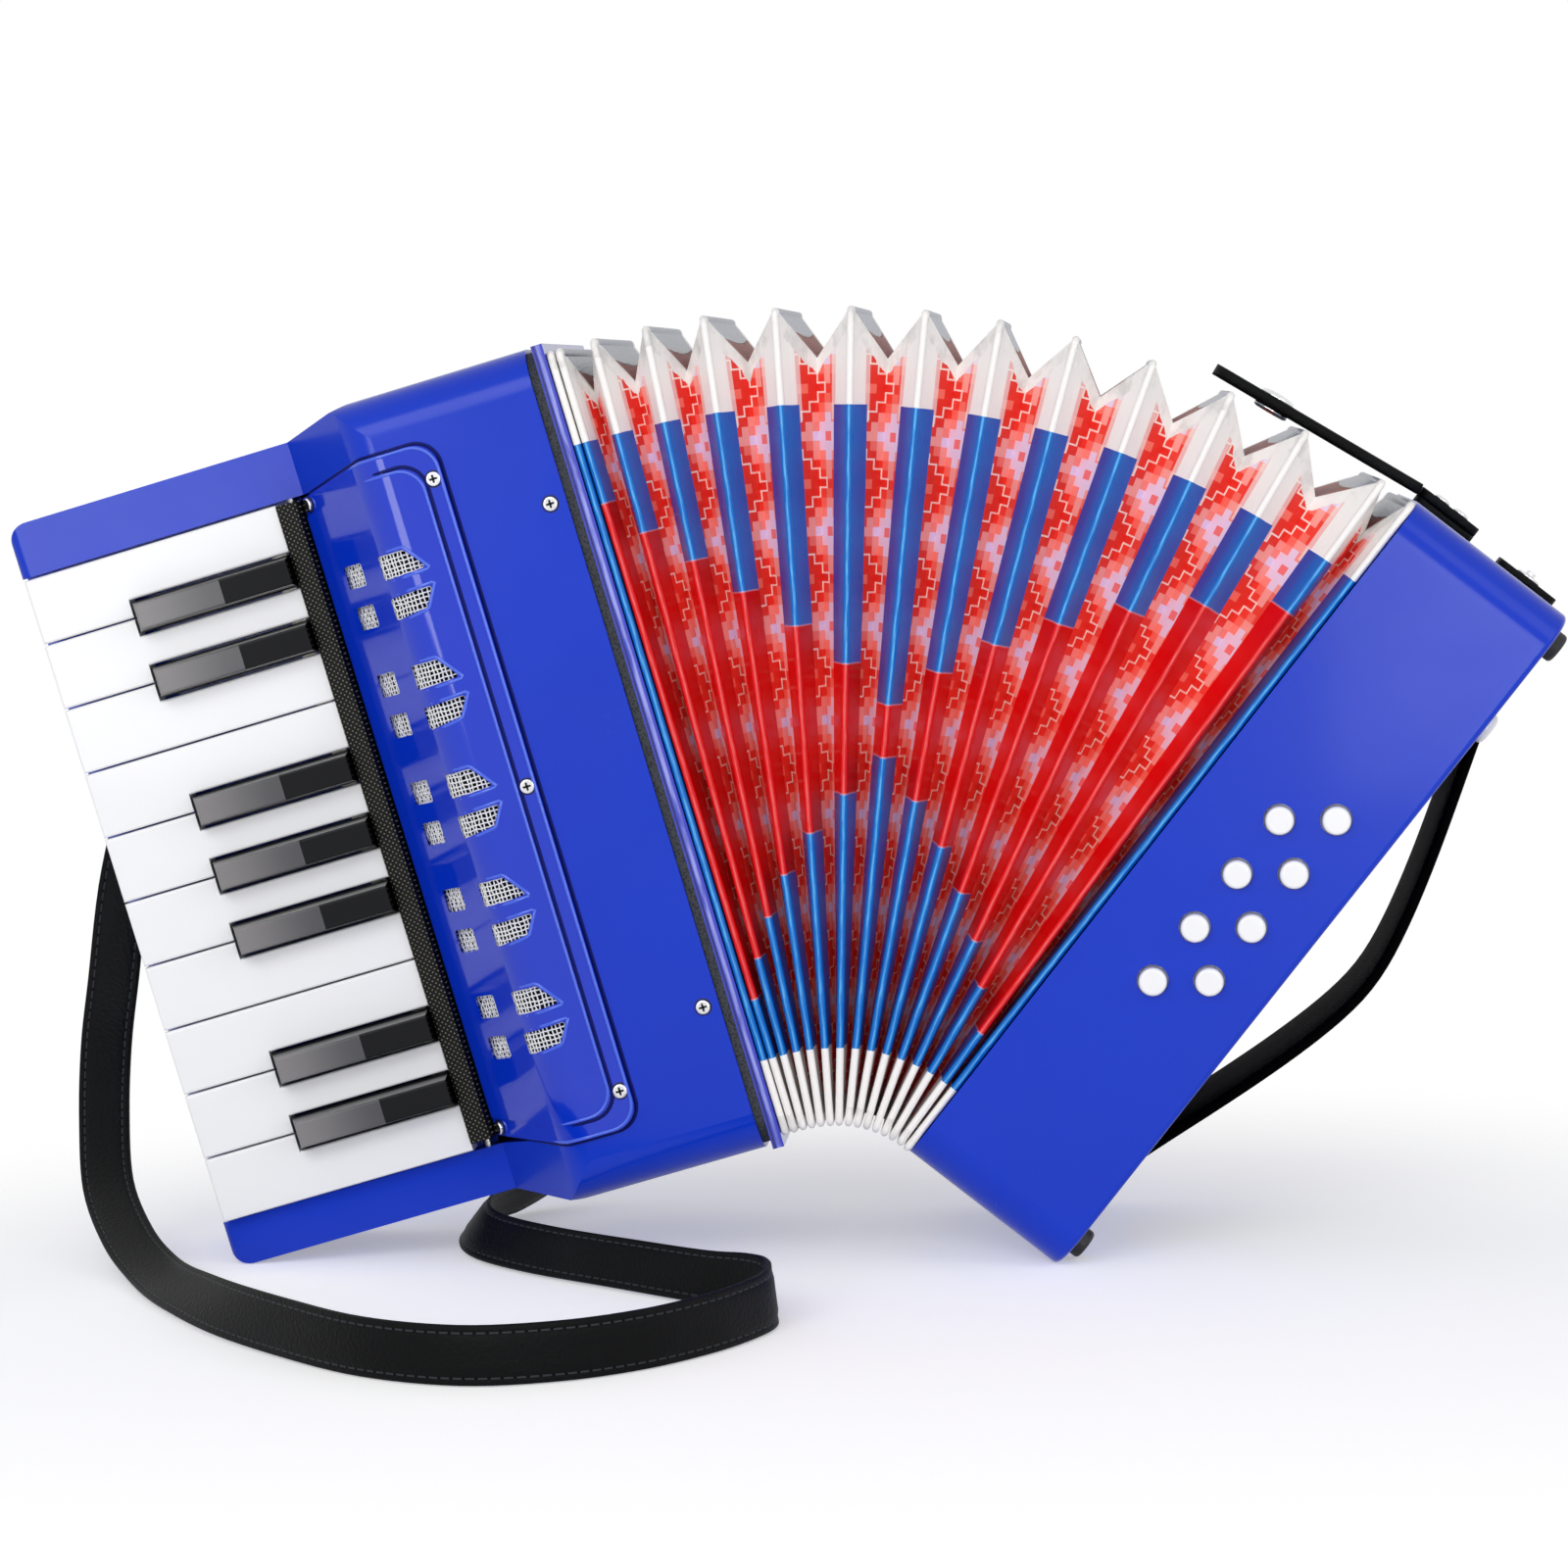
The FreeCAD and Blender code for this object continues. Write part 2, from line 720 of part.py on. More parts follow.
def ground_tilt():
    # Lean of the treble end at which both outer bottom corners meet one level surface.
    bass_place = bass_placement_in_treble()
    near = Vec(deck_left + deck_corner_radius, 0, deck_lift + deck_corner_radius)
    far_local = Vec(bass_width - bass_outer_edge_radius, 0, bass_outer_edge_radius)
    far = bass_place.multVec(far_local)
    span = math.hypot(far.x - near.x, far.z - near.z)
    slope = math.degrees(math.atan2(far.z - near.z, far.x - near.x))
    radii = math.degrees(math.asin((deck_corner_radius - bass_outer_edge_radius) / span))
    return slope + radii


def ridge_places():
    # Place of each ridge in the treble end's frame, with the hinge line before it.
    places = []
    hinges = []
    angle = 0
    foot = Vec(first_ridge_x, 0, bellows_lift)
    for index in range(ridge_count):
        if index == 1:
            foot = foot + Vec(ridge_pitch, 0, 0)
        if index > 1:
            hinge = foot + turned(angle).multVec(Vec(ridge_pitch / 2, 0, 0))
            hinges.append(hinge)
            angle = angle + fan_angle * gap_angle_shares[index - 2]
            foot = hinge + turned(angle).multVec(Vec(ridge_pitch / 2, 0, 0))
        places.append(FreeCAD.Placement(foot, turned(angle)))
    return places, hinges


def bass_placement_in_treble():
    places, hinges = ridge_places()
    last = places[-1]
    start = last.multVec(Vec(ridge_pitch / 2 + face_gap, 0, -bass_drop))
    return FreeCAD.Placement(start, last.Rotation)


def loop_wire(corners):
    return Part.makePolygon(corners + [corners[0]])


def ridge_loop(place, inset):
    half = bellows_depth / 2 - inset
    corners = [Vec(0, -half, inset), Vec(0, half, inset), Vec(0, half, bellows_height - inset),
               Vec(0, -half, bellows_height - inset)]
    return loop_wire([place.multVec(corner) for corner in corners])


def valley_loop(before, after, inset):
    # The fold between two ridges lies on the plane half way between them.
    half_top = bellows_depth / 2 - fold_depth_top - inset
    half_low = bellows_depth / 2 - fold_depth_low - inset
    low_z = fold_depth_low + inset
    top_z = bellows_height - fold_depth_top - inset
    corners = [Vec(0, -half_low, low_z), Vec(0, half_low, low_z), Vec(0, half_top, top_z),
               Vec(0, -half_top, top_z)]
    loop = []
    for corner in corners:
        loop.append((before.multVec(corner) + after.multVec(corner)) / 2)
    return loop_wire(loop)


def make_bellows_skin():
    places, hinges = ridge_places()

    def folds(inset):
        loops = []
        for index, place in enumerate(places):
            if index:
                loops.append(valley_loop(places[index - 1], place, inset - skin_inset))
            loops.append(ridge_loop(place, inset))
        return Part.makeLoft(loops, True, True)
    return folds(skin_inset).cut(folds(skin_inset + skin_wall))


def low_strap_solid():
    # Strap under the fold feet from the treble case to the bass case, in the treble frame.
    places, hinges = ridge_places()
    bass = bass_placement_in_treble()
    under = Vec(0, 0, -low_strap_gap)
    upper = [Vec(body_right - low_strap_tab, 0, 0) + under, Vec(frame_right, 0, 0) + under]
    for place in places[1:-1]:
        upper.append(place.multVec(under))
    upper.append(bass.multVec(under))
    upper.append(bass.multVec(Vec(low_strap_tab, 0, 0) + under))
    middle = (upper[0] + upper[-1]) / 2
    crown = upper[len(upper) // 2]
    inward = (middle - crown).normalize()
    lower = []
    for index, point in enumerate(upper):
        before = upper[max(index - 1, 0)]
        after = upper[min(index + 1, len(upper) - 1)]
        along = (after - before).normalize()
        down = Vec(along.z, 0, -along.x)
        if down.dot(inward) < 0:
            down = down * -1
        lower.append(point + down * low_strap_thickness)
    outline = upper + lower[::-1]
    outline.append(upper[0])
    solid = Part.Face(Part.makePolygon(outline)).extrude(Vec(0, low_strap_width, 0))
    solid.translate(Vec(0, -low_strap_width / 2, 0))
    return solid


# Bass case

def bass_outer(inset):
    end_view = shrunk(
        [Vec(0, front_y, 0), Vec(0, back_y, 0), Vec(0, back_y, bass_height),
         Vec(0, front_y, bass_height)],
        [long_edge_radius] * 4, inset)
    solid = end_view.extrude(Vec(bass_width - inset, 0, 0))
    if inset == 0:
        rim = [edge for edge in solid.Edges
               if edge.BoundBox.XMin > bass_width - face_gap]
        solid = solid.makeFillet(bass_outer_edge_radius, rim)
    return solid


def button_places():
    places = []
    for row in range(button_rows):
        for step in range(buttons_per_row):
            x = button_row_inset + row * button_row_gap
            z = button_first_height + step * button_pitch + row * button_row_stagger
            places.append(Vec(x, front_y, z))
    return places


def make_bass_case():
    hollow = bass_outer(wall)
    hollow.translate(Vec(-face_gap, 0, 0))
    case = bass_outer(0).cut(hollow)
    holes = []
    for place in button_places():
        holes.append(cylinder(button_radius + button_hole_clearance,
                              place - Vec(0, cut_overrun, 0), Vec(0, 1, 0),
                              cut_overrun + 2 * wall))
    holes.append(cylinder(air_radius + button_hole_clearance,
                          Vec(bass_width - 2 * wall, -air_front_offset, air_height),
                          Vec(1, 0, 0), cut_overrun + 2 * wall))
    return case.cut(holes)


def make_bass_button(index):
    place = button_places()[index - 1]
    inward = Vec(0, 1, 0)
    cap_start = place - inward * button_stand
    cap_length = button_stand + wall + seat_gap
    cap = cylinder(button_radius, cap_start, inward, cap_length)
    rim = [edge for edge in cap.Edges if edge.Closed and edge.CenterOfMass.y < cap_start.y + face_gap]
    cap = cap.makeFillet(button_radius / 4, rim)
    flange_start = place + inward * (wall + seat_gap)
    flange = cylinder(button_flange_radius, flange_start, inward, button_flange_thickness)
    stem = cylinder(button_stem_radius, flange_start, inward, button_stem_length)
    return joined([cap, flange, stem])


def make_air_button():
    face = Vec(bass_width, -air_front_offset, air_height)
    inward = Vec(-1, 0, 0)
    cap = cylinder(air_radius, face - inward * air_stand, inward, air_stand + wall + seat_gap)
    rim = [edge for edge in cap.Edges if edge.Closed and edge.CenterOfMass.x > face.x + face_gap]
    cap = cap.makeFillet(air_radius / 3, rim)
    flange_start = face + inward * (wall + seat_gap)
    flange = cylinder(air_radius + 1.5 * wall, flange_start, inward, button_flange_thickness)
    stem = cylinder(button_stem_radius, flange_start, inward, air_stem_length)
    return joined([cap, flange, stem])


def guide_y():
    return front_y + wall + seat_gap + button_flange_thickness + button_travel + wall


def make_bass_reed_board():
    # Guide board for the button stems, and the reed board behind it with its block.
    margin = wall + seat_gap
    guide = block(Vec(wall, guide_y(), margin),
                  Vec(bass_width - margin, guide_y() + guide_board_thickness,
                      bass_height - margin))
    holes = []
    for place in button_places():
        holes.append(cylinder(button_stem_radius + button_stem_clearance,
                              Vec(place.x, guide_y() - cut_overrun, place.z), Vec(0, 1, 0),
                              3 * cut_overrun))
    guide = guide.cut(holes)
    board_start = guide_y() + 4 * wall + button_stem_length
    board = block(Vec(wall, board_start, margin),
                  Vec(bass_width - margin, board_start + guide_board_thickness,
                      bass_height - margin))
    slots = []
    for place in button_places():
        slots.append(block(
            Vec(place.x - button_radius, board_start - cut_overrun, place.z - button_radius / 2),
            Vec(place.x + button_radius, board_start + cut_overrun, place.z + button_radius / 2)))
    board = board.cut(slots)
    wood = block(Vec(button_row_inset - button_radius, board_start + guide_board_thickness,
                     button_first_height - button_pitch),
                 Vec(button_row_inset + button_row_gap + button_radius, back_y - 3 * wall,
                     button_first_height + buttons_per_row * button_pitch))
    return group([guide, board, wood])


def make_bass_feet():
    feet = []
    for side in (-1, 1):
        for height in (foot_inset_low, bass_height - foot_inset_top):
            foot = cylinder(foot_radius, Vec(bass_width, side * foot_spread, height),
                            Vec(1, 0, 0), foot_height)
            rim = [edge for edge in foot.Edges if edge.Closed
                   and edge.CenterOfMass.x > bass_width + foot_height / 2]
            feet.append(foot.makeFillet(foot_radius / 4, rim))
    return group(feet)


def make_hand_strap():
    # Bowed band with a flat tab at each end, seen from the front, then given its width.
    face = bass_width
    tab_top = hand_strap_top + hand_strap_tab
    tab_low = hand_strap_low - hand_strap_tab
    middle = (hand_strap_top + hand_strap_low) / 2
    thick = hand_strap_thickness
    outer_mid = Vec(face + hand_strap_bulge, 0, middle)
    inner_mid = Vec(face + hand_strap_bulge - thick, 0, middle)
    edges = [
        Part.LineSegment(Vec(face, 0, tab_top), Vec(face + thick, 0, tab_top)).toShape(),
        Part.LineSegment(Vec(face + thick, 0, tab_top),
                         Vec(face + thick, 0, hand_strap_top)).toShape(),
        Part.Arc(Vec(face + thick, 0, hand_strap_top), outer_mid,
                 Vec(face + thick, 0, hand_strap_low)).toShape(),
        Part.LineSegment(Vec(face + thick, 0, hand_strap_low),
                         Vec(face + thick, 0, tab_low)).toShape(),
        Part.LineSegment(Vec(face + thick, 0, tab_low), Vec(face, 0, tab_low)).toShape(),
        Part.LineSegment(Vec(face, 0, tab_low), Vec(face, 0, hand_strap_low)).toShape(),
        Part.Arc(Vec(face, 0, hand_strap_low), inner_mid, Vec(face, 0, hand_strap_top)).toShape(),
        Part.LineSegment(Vec(face, 0, hand_strap_top), Vec(face, 0, tab_top)).toShape()]
    band = Part.Face(Part.Wire(edges)).extrude(Vec(0, hand_strap_width, 0))
    band.translate(Vec(0, -hand_strap_width / 2, 0))
    return band


def rivet(point, facing):
    head = cylinder(rivet_radius, point, facing, rivet_height)
    rim = [edge for edge in head.Edges if edge.Closed
           and (edge.CenterOfMass - point).Length > rivet_height / 2]
    return head.makeFillet(rivet_height / 2, rim)


def make_bass_fittings():
    # Rivets of the straps, the anchor plate of the closure strap and the parking stud's tab.
    outward = Vec(1, 0, 0)
    up = Vec(0, 0, 1)
    pieces = []
    for height in (hand_strap_top + hand_strap_tab / 2, hand_strap_low - hand_strap_tab / 2):
        for side in (-1, 1):
            pieces.append(rivet(Vec(bass_width + hand_strap_thickness,
                                    side * hand_strap_width / 4, height), outward))
    half = closure_width / 2
    anchor_left = closure_thickness / 2 + seat_gap
    anchor_right = anchor_left + closure_anchor_length
    plate_top = bass_height + closure_plate_thickness
    anchor_top = plate_top + closure_thickness
    pieces.append(block(Vec(anchor_left, -half, bass_height), Vec(anchor_right, half, plate_top)))
    anchor = block(Vec(anchor_left, -half, plate_top), Vec(anchor_right, half, anchor_top))
    ends = [edge for edge in anchor.Edges if edge.BoundBox.ZMin > anchor_top - face_gap
            and edge.BoundBox.XMin > anchor_right - face_gap]
    pieces.append(anchor.makeFillet(closure_thickness / 2, ends))
    for share in (1, 2):
        spot = anchor_left + closure_anchor_length * share / 3
        pieces.append(rivet(Vec(spot, 0, anchor_top), up))
    tab_left = bass_width - park_tab_length - bass_outer_edge_radius
    tab = block(Vec(tab_left, -half, bass_height),
                Vec(tab_left + park_tab_length, half, bass_height + closure_thickness))
    pieces.append(tab.makeFillet(closure_thickness / 3, [
        edge for edge in tab.Edges if edge.BoundBox.ZMin > bass_height + seat_gap]))
    stud = Vec(tab_left + park_tab_length / 2, 0, bass_height + closure_thickness)
    pieces.append(rivet(stud, up).fuse(cylinder(rivet_radius / 2, stud, up, 2 * rivet_height)))
    return group(pieces)


def closure_hinge_z():
    return bass_height + closure_plate_thickness + closure_thickness / 2


def make_closure_strap():
    # Stiff strap with a rounded free end, a snap cap on top and its socket below.
    half = closure_width / 2
    base_z = closure_hinge_z()
    points = [Vec(0, -half, base_z - closure_thickness / 2),
              Vec(0, half, base_z - closure_thickness / 2),
              Vec(-closure_length, half, base_z - closure_thickness / 2),
              Vec(-closure_length, -half, base_z - closure_thickness / 2)]
    band = prism(points, [0, 0, half * 0.9, half * 0.9], Vec(0, 0, closure_thickness))
    up = Vec(0, 0, 1)
    snap = Vec(-snap_reach, 0, base_z + closure_thickness / 2)
    cap = rivet(snap, up)
    socket = cylinder(snap_radius, snap - up * closure_thickness, up * -1, snap_height)
    socket = socket.cut(cylinder(snap_radius / 2, snap - up * closure_thickness,
                                 up * -1, snap_height + cut_overrun))
    knuckle = cylinder(closure_thickness / 2, Vec(0, -half, base_z), Vec(0, 1, 0), closure_width)
    strap = joined([band, knuckle])
    strap = group([strap, cap, socket])
    strap.rotate(Vec(0, 0, base_z), Vec(0, 1, 0), -closure_angle)
    return strap


# Shoulder strap: places along its outer edge, then the lean of its width, as shares and angles

strap_route_shares = (
    (-1.240, 0.500, 2.060, -70),
    (-1.500, 0.480, 1.870, -58),
    (-1.760, 0.490, 1.580, -42),
    (-1.960, 0.510, 1.280, -29),
    (-2.040, 0.500, 1.040, -21),
    (-2.075, 0.420, 0.730, -4),
    (-2.085, 0.330, 0.540, 0),
    (-2.065, 0.180, 0.340, 10),
    (-2.015, -0.020, 0.165, 15),
    (-1.905, -0.280, 0.060, 20),
    (-1.785, -0.520, 0.010, 26),
    (-1.650, -0.800, 0.0, 38),
    (-1.440, -1.150, 0.0, 60),
    (-1.200, -1.440, 0.0, 78),
    (-0.950, -1.680, 0.0, 88),
    (-0.690, -1.800, 0.0, 90),
    (-0.460, -1.770, 0.0, 90),
    (-0.270, -1.660, 0.0, 91),
    (-0.120, -1.500, 0.0, 93),
    (-0.020, -1.340, 0.0, 97),
    (0.030, -1.190, 0.0, 98),
    (0.000, -1.040, 0.0, 90),
    (-0.100, -0.940, 0.0, 74),
    (-0.240, -0.840, 0.0, 62),
    (-0.460, -0.650, 0.0, 58),
    (-0.720, -0.420, 0.0, 57),
    (-0.890, -0.200, 0.0, 55),
    (-0.950, 0.040, 0.0, 52),
    (-0.930, 0.280, 0.0, 49),
    (-0.840, 0.490, 0.005, 45),
    (-0.720, 0.610, 0.070, 37),
    (-0.620, 0.620, 0.200, 26),
    (-0.545, 0.560, 0.320, 17),
)


def strap_anchors(treble):
    # Edge points of the strap inside its two brackets, as pairs of outer and inner edge.
    middle_y = back_y + seat_gap + strap_thickness / 2
    half = strap_width / 2
    top = treble_height - bracket_inset
    upper = []
    lower = []
    for side in (1, -1):
        reach = side * bracket_length
        x = reach - bracket_centre
        upper.append((treble.multVec(Vec(x, middle_y, top + half)),
                      treble.multVec(Vec(x, middle_y, top - half))))
        z = bracket_inset - reach
        lower.append((treble.multVec(Vec(-bracket_centre - half, middle_y, z)),
                      treble.multVec(Vec(-bracket_centre + half, middle_y, z))))
    return upper, lower


def make_shoulder_strap(treble):
    upper, lower = strap_anchors(treble)
    lows = [pair[0] for pair in upper]
    highs = [pair[1] for pair in upper]
    for across, back, up, lean in strap_route_shares:
        low = Vec(across * strap_reach, back * strap_reach, up * strap_reach)
        lows.append(low)
        highs.append(low + Vec(math.cos(math.radians(lean)) * strap_width, 0,
                               math.sin(math.radians(lean)) * strap_width))
    lows.extend([pair[0] for pair in lower])
    highs.extend([pair[1] for pair in lower])
    sections = []
    last = len(lows) - 1
    for index in range(len(lows)):
        before = max(index - 1, 0)
        after = min(index + 1, last)
        along = (lows[after] + highs[after]) - (lows[before] + highs[before])
        side = along.cross(highs[index] - lows[index]).normalize() * strap_thickness / 2
        lift = Vec(0, 0, abs(side.z))
        low = lows[index] + lift
        high = highs[index] + lift
        sections.append(loop_wire([low - side, high - side, high + side, low + side]))
    strap = Part.makeLoft(sections, True, True)
    if strap.Volume < 0:
        strap.reverse()
    return strap


def strap_bracket(slot_along, length, width, height):
    # Loop of plate standing on the back of the case, with the strap passing through it.
    stand = strap_thickness + 2 * seat_gap
    slot_size = strap_width + 2 * seat_gap
    outer = block(Vec(-width / 2, 0, -height / 2),
                  Vec(width / 2, stand + bracket_thickness, height / 2))
    if slot_along == "across":
        slot = block(Vec(-length, 0, -slot_size / 2), Vec(length, stand, slot_size / 2))
    else:
        slot = block(Vec(-slot_size / 2, 0, -length), Vec(slot_size / 2, stand, length))
    return outer.cut(slot)


def make_strap_brackets():
    long_side = strap_width + 2 * seat_gap + 2 * bracket_thickness
    upper = strap_bracket("across", bracket_length, bracket_length, long_side)
    upper.translate(Vec(-bracket_centre, back_y, treble_height - bracket_inset))
    lower = strap_bracket("upright", bracket_length, long_side, bracket_length)
    lower.translate(Vec(-bracket_centre, back_y, bracket_inset))
    return group([upper, lower])


# Assembly

def placed(shape, placement):
    moved = shape.copy()
    moved.Placement = placement.multiply(moved.Placement)
    return moved


def build_parts():
    tilt = ground_tilt()
    near = Vec(deck_left + deck_corner_radius, 0, deck_lift + deck_corner_radius)
    rise = deck_corner_radius - turned(tilt).multVec(near).z
    treble = FreeCAD.Placement(Vec(0, 0, rise), turned(tilt))
    bass = treble.multiply(bass_placement_in_treble())
    places, hinges = ridge_places()
    parts = {}

    def treble_part(name, shape):
        parts[name] = placed(shape, treble)

    def bass_part(name, shape):
        parts[name] = placed(shape, bass)

    treble_part("treble_case", make_treble_case())
    treble_part("grille_cover", make_grille_cover())
    treble_part("grille_mesh", make_grille_mesh())
    treble_part("key_strip", make_key_strip())
    treble_part("key_axle", axle_rod(0))
    treble_part("key_springs", make_key_springs())
    treble_part("treble_reed_board", make_treble_reed_board())
    treble_part("treble_gasket", make_treble_gasket())
    treble_part("treble_frame", make_treble_frame())
    treble_part("treble_screws", make_treble_screws())
    treble_part("strap_brackets", make_strap_brackets())
    parts["shoulder_strap"] = make_shoulder_strap(treble)
    for number in range(1, white_key_count + 1):
        treble_part("white_key_%02d" % number, make_white_key(number))
    for order in range(1, len(black_after_white_numbers) + 1):
        treble_part("black_key_%d" % order, make_black_key(order))

    first_two = []
    for index, place in enumerate(places):
        bars = [placed(bar, treble.multiply(place)) for bar in ridge_bars()]
        if index < 2:
            first_two.extend(bars)
            continue
        parts["bellows_ridge_%02d" % (index + 1)] = group(bars)
    parts["bellows_ridge_01_02"] = group(first_two)
    treble_part("bellows_skin", make_bellows_skin())
    treble_part("closure_strap_bottom", low_strap_solid())

    bass_part("bass_case", make_bass_case())
    for index in range(1, button_rows * buttons_per_row + 1):
        bass_part("bass_button_%d" % index, make_bass_button(index))
    bass_part("air_button", make_air_button())
    bass_part("bass_reed_board", make_bass_reed_board())
    bass_part("bass_feet", make_bass_feet())
    bass_part("bass_fittings", make_bass_fittings())
    bass_part("hand_strap", make_hand_strap())
    bass_part("closure_strap_top", make_closure_strap())
    return parts, treble, bass


def centring(parts):
    # The origin is the middle of the whole object's footprint, on the surface it stands on.
    box = FreeCAD.BoundBox()
    for shape in parts.values():
        box.add(shape.optimalBoundingBox(True, False))
    return Vec(-box.Center.x, -box.Center.y, -box.ZMin)


def main():
    os.makedirs("parts", exist_ok=True)
    parts, treble, bass = build_parts()
    shift = centring(parts)
    for name, shape in parts.items():
        shape.translate(shift)
        shape.exportStep("parts/" + name + ".step")
        print(name, len(shape.Solids), round(shape.Volume), shape.isValid())
    print("nodes", len(parts), "shift", shift)


main()
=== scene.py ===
import math

import bmesh
import bpy
import numpy as np
from mathutils import Matrix, Vector


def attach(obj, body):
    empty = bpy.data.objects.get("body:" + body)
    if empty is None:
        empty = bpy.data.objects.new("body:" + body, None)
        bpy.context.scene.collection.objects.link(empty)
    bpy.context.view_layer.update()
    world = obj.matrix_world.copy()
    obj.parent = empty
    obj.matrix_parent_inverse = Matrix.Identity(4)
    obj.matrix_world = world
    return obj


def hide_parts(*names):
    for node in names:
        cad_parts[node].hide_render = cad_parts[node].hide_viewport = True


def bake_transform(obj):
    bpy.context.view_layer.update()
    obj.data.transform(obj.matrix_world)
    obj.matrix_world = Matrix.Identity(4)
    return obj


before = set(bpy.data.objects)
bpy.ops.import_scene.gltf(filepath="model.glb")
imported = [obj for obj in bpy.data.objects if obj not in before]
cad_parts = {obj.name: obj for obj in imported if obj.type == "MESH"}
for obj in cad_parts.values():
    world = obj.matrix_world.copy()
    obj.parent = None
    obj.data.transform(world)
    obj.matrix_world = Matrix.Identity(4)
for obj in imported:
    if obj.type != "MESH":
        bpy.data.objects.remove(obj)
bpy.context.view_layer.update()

MM = 0.001
rng = np.random.default_rng(7)

# Frames of the two ends and of the folds, in millimetres

TREBLE_TILT = -14.892797
TREBLE_ORIGIN = np.array([-2.501994, 59.034881, 34.234734])
RIDGE_COUNT = 15
RIDGE_PITCH = 2.42
FIRST_RIDGE = 2.86
BELLOWS_HEIGHT = 220.0
BELLOWS_HALF_DEPTH = 48.5
BELLOWS_LIFT = 2.5
FAN_ANGLE = 54.2
GAP_SHARES = (0.035, 0.057, 0.064, 0.081, 0.086, 0.084, 0.085, 0.087, 0.091, 0.096, 0.095,
              0.104, 0.035)
FOLD_DEPTH_TOP = 13.6
FOLD_DEPTH_LOW = 16.8
LOW_VALLEY = 4.0
BASS_WIDTH = 50.5
BASS_HEIGHT = 221.3
BASS_GAP = 0.05
BASS_DROP = 0.5


class Place:
    """A turn about the depth axis and then a shift, in millimetres."""

    def __init__(self, origin, angle):
        self.origin = np.array(origin, float)
        self.angle = angle
        a = math.radians(angle)
        self.ex = np.array([math.cos(a), 0, -math.sin(a)])
        self.ey = np.array([0, 1.0, 0])
        self.ez = np.array([math.sin(a), 0, math.cos(a)])

    def point(self, p):
        p = np.asarray(p, float)
        return (self.origin + p[..., 0:1] * self.ex + p[..., 1:2] * self.ey
                + p[..., 2:3] * self.ez)

    def direction(self, p):
        p = np.asarray(p, float)
        return p[..., 0:1] * self.ex + p[..., 1:2] * self.ey + p[..., 2:3] * self.ez

    def then(self, origin, angle):
        return Place(self.point(np.array(origin, float)), self.angle + angle)


TREBLE = Place(TREBLE_ORIGIN, TREBLE_TILT)


def ridge_frames():
    frames = []
    angle = 0.0
    half = np.array([RIDGE_PITCH / 2, 0, 0])
    foot = np.array([FIRST_RIDGE, 0, BELLOWS_LIFT])
    for index in range(RIDGE_COUNT):
        if index == 1:
            foot = foot + 2 * half
        if index > 1:
            hinge = foot + Place((0, 0, 0), angle).direction(half)
            angle += FAN_ANGLE * GAP_SHARES[index - 2]
            foot = hinge + Place((0, 0, 0), angle).direction(half)
        frames.append(TREBLE.then(foot, angle))
    return frames


RIDGES = ridge_frames()
BASS = RIDGES[-1].then((RIDGE_PITCH / 2 + BASS_GAP, 0, -BASS_DROP), 0)


# Mesh helpers

def make_object(name, verts, faces, smooth=True, attributes=None):
    mesh = bpy.data.meshes.new(name)
    mesh.from_pydata([tuple(v) for v in np.asarray(verts, float) * MM], [], faces)
    mesh.polygons.foreach_set("use_smooth", [smooth] * len(mesh.polygons))
    for key, values in (attributes or {}).items():
        layer = mesh.attributes.new(key, "FLOAT", "POINT")
        layer.data.foreach_set("value", np.asarray(values, np.float32))
    mesh.update()
    obj = bpy.data.objects.new(name, mesh)
    bpy.context.scene.collection.objects.link(obj)
    return obj


def grid_faces(rows, columns, start=0, wrap_rows=False, wrap_columns=False):
    faces = []
    for r in range(rows if wrap_rows else rows - 1):
        for c in range(columns if wrap_columns else columns - 1):
            r2 = (r + 1) % rows
            c2 = (c + 1) % columns
            faces.append((start + r * columns + c, start + r * columns + c2,
                          start + r2 * columns + c2, start + r2 * columns + c))
    return faces


def tube_faces(rings, sides, closed=False):
    """Faces of a tube with a cap at each end, or of a tube that closes on itself."""
    faces = grid_faces(rings, sides, wrap_rows=closed, wrap_columns=True)
    if not closed:
        last = (rings - 1) * sides
        faces.append(tuple(range(sides)))
        faces.append(tuple(last + k for k in reversed(range(sides))))
    return faces


def face_out(obj):
    """Makes the faces of a closed mesh point outwards."""
    work = bmesh.new()
    work.from_mesh(obj.data)
    bmesh.ops.recalc_face_normals(work, faces=work.faces)
    work.to_mesh(obj.data)
    work.free()
    return obj


def unit(vectors):
    return vectors / np.linalg.norm(vectors, axis=-1, keepdims=True)


class Soup:
    """Several parts of one mesh with the same attributes."""

    def __init__(self, keys=()):
        self.verts = []
        self.faces = []
        self.values = {key: [] for key in keys}
        self.count = 0

    def add(self, verts, faces, **values):
        verts = np.asarray(verts, float).reshape(-1, 3)
        self.faces.extend([tuple(i + self.count for i in f) for f in faces])
        self.verts.append(verts)
        for key in self.values:
            given = values.get(key, 0.0)
            self.values[key].append(np.broadcast_to(np.asarray(given, float), (len(verts),)))
        self.count += len(verts)

    def build(self, name, smooth=True):
        values = {key: np.concatenate(parts) for key, parts in self.values.items()}
        return make_object(name, np.concatenate(self.verts), self.faces, smooth, values)


def lathe(soup, place, base, axis, profile, steps=28):
    """A turned solid: profile is (radius, height) pairs from the middle of its foot."""
    axis = np.array(axis, float)
    side = unit(np.cross(axis, [0.3, 0.5, 0.81]))
    other = np.cross(axis, side)
    turns = 2 * math.pi * np.arange(steps)[:, None] / steps
    circle = side * np.cos(turns) + other * np.sin(turns)
    rings = [np.array(base, float) + axis * height + circle * max(radius, 0.001)
             for radius, height in profile]
    soup.add(place.point(np.array(rings)), tube_faces(len(profile), steps))


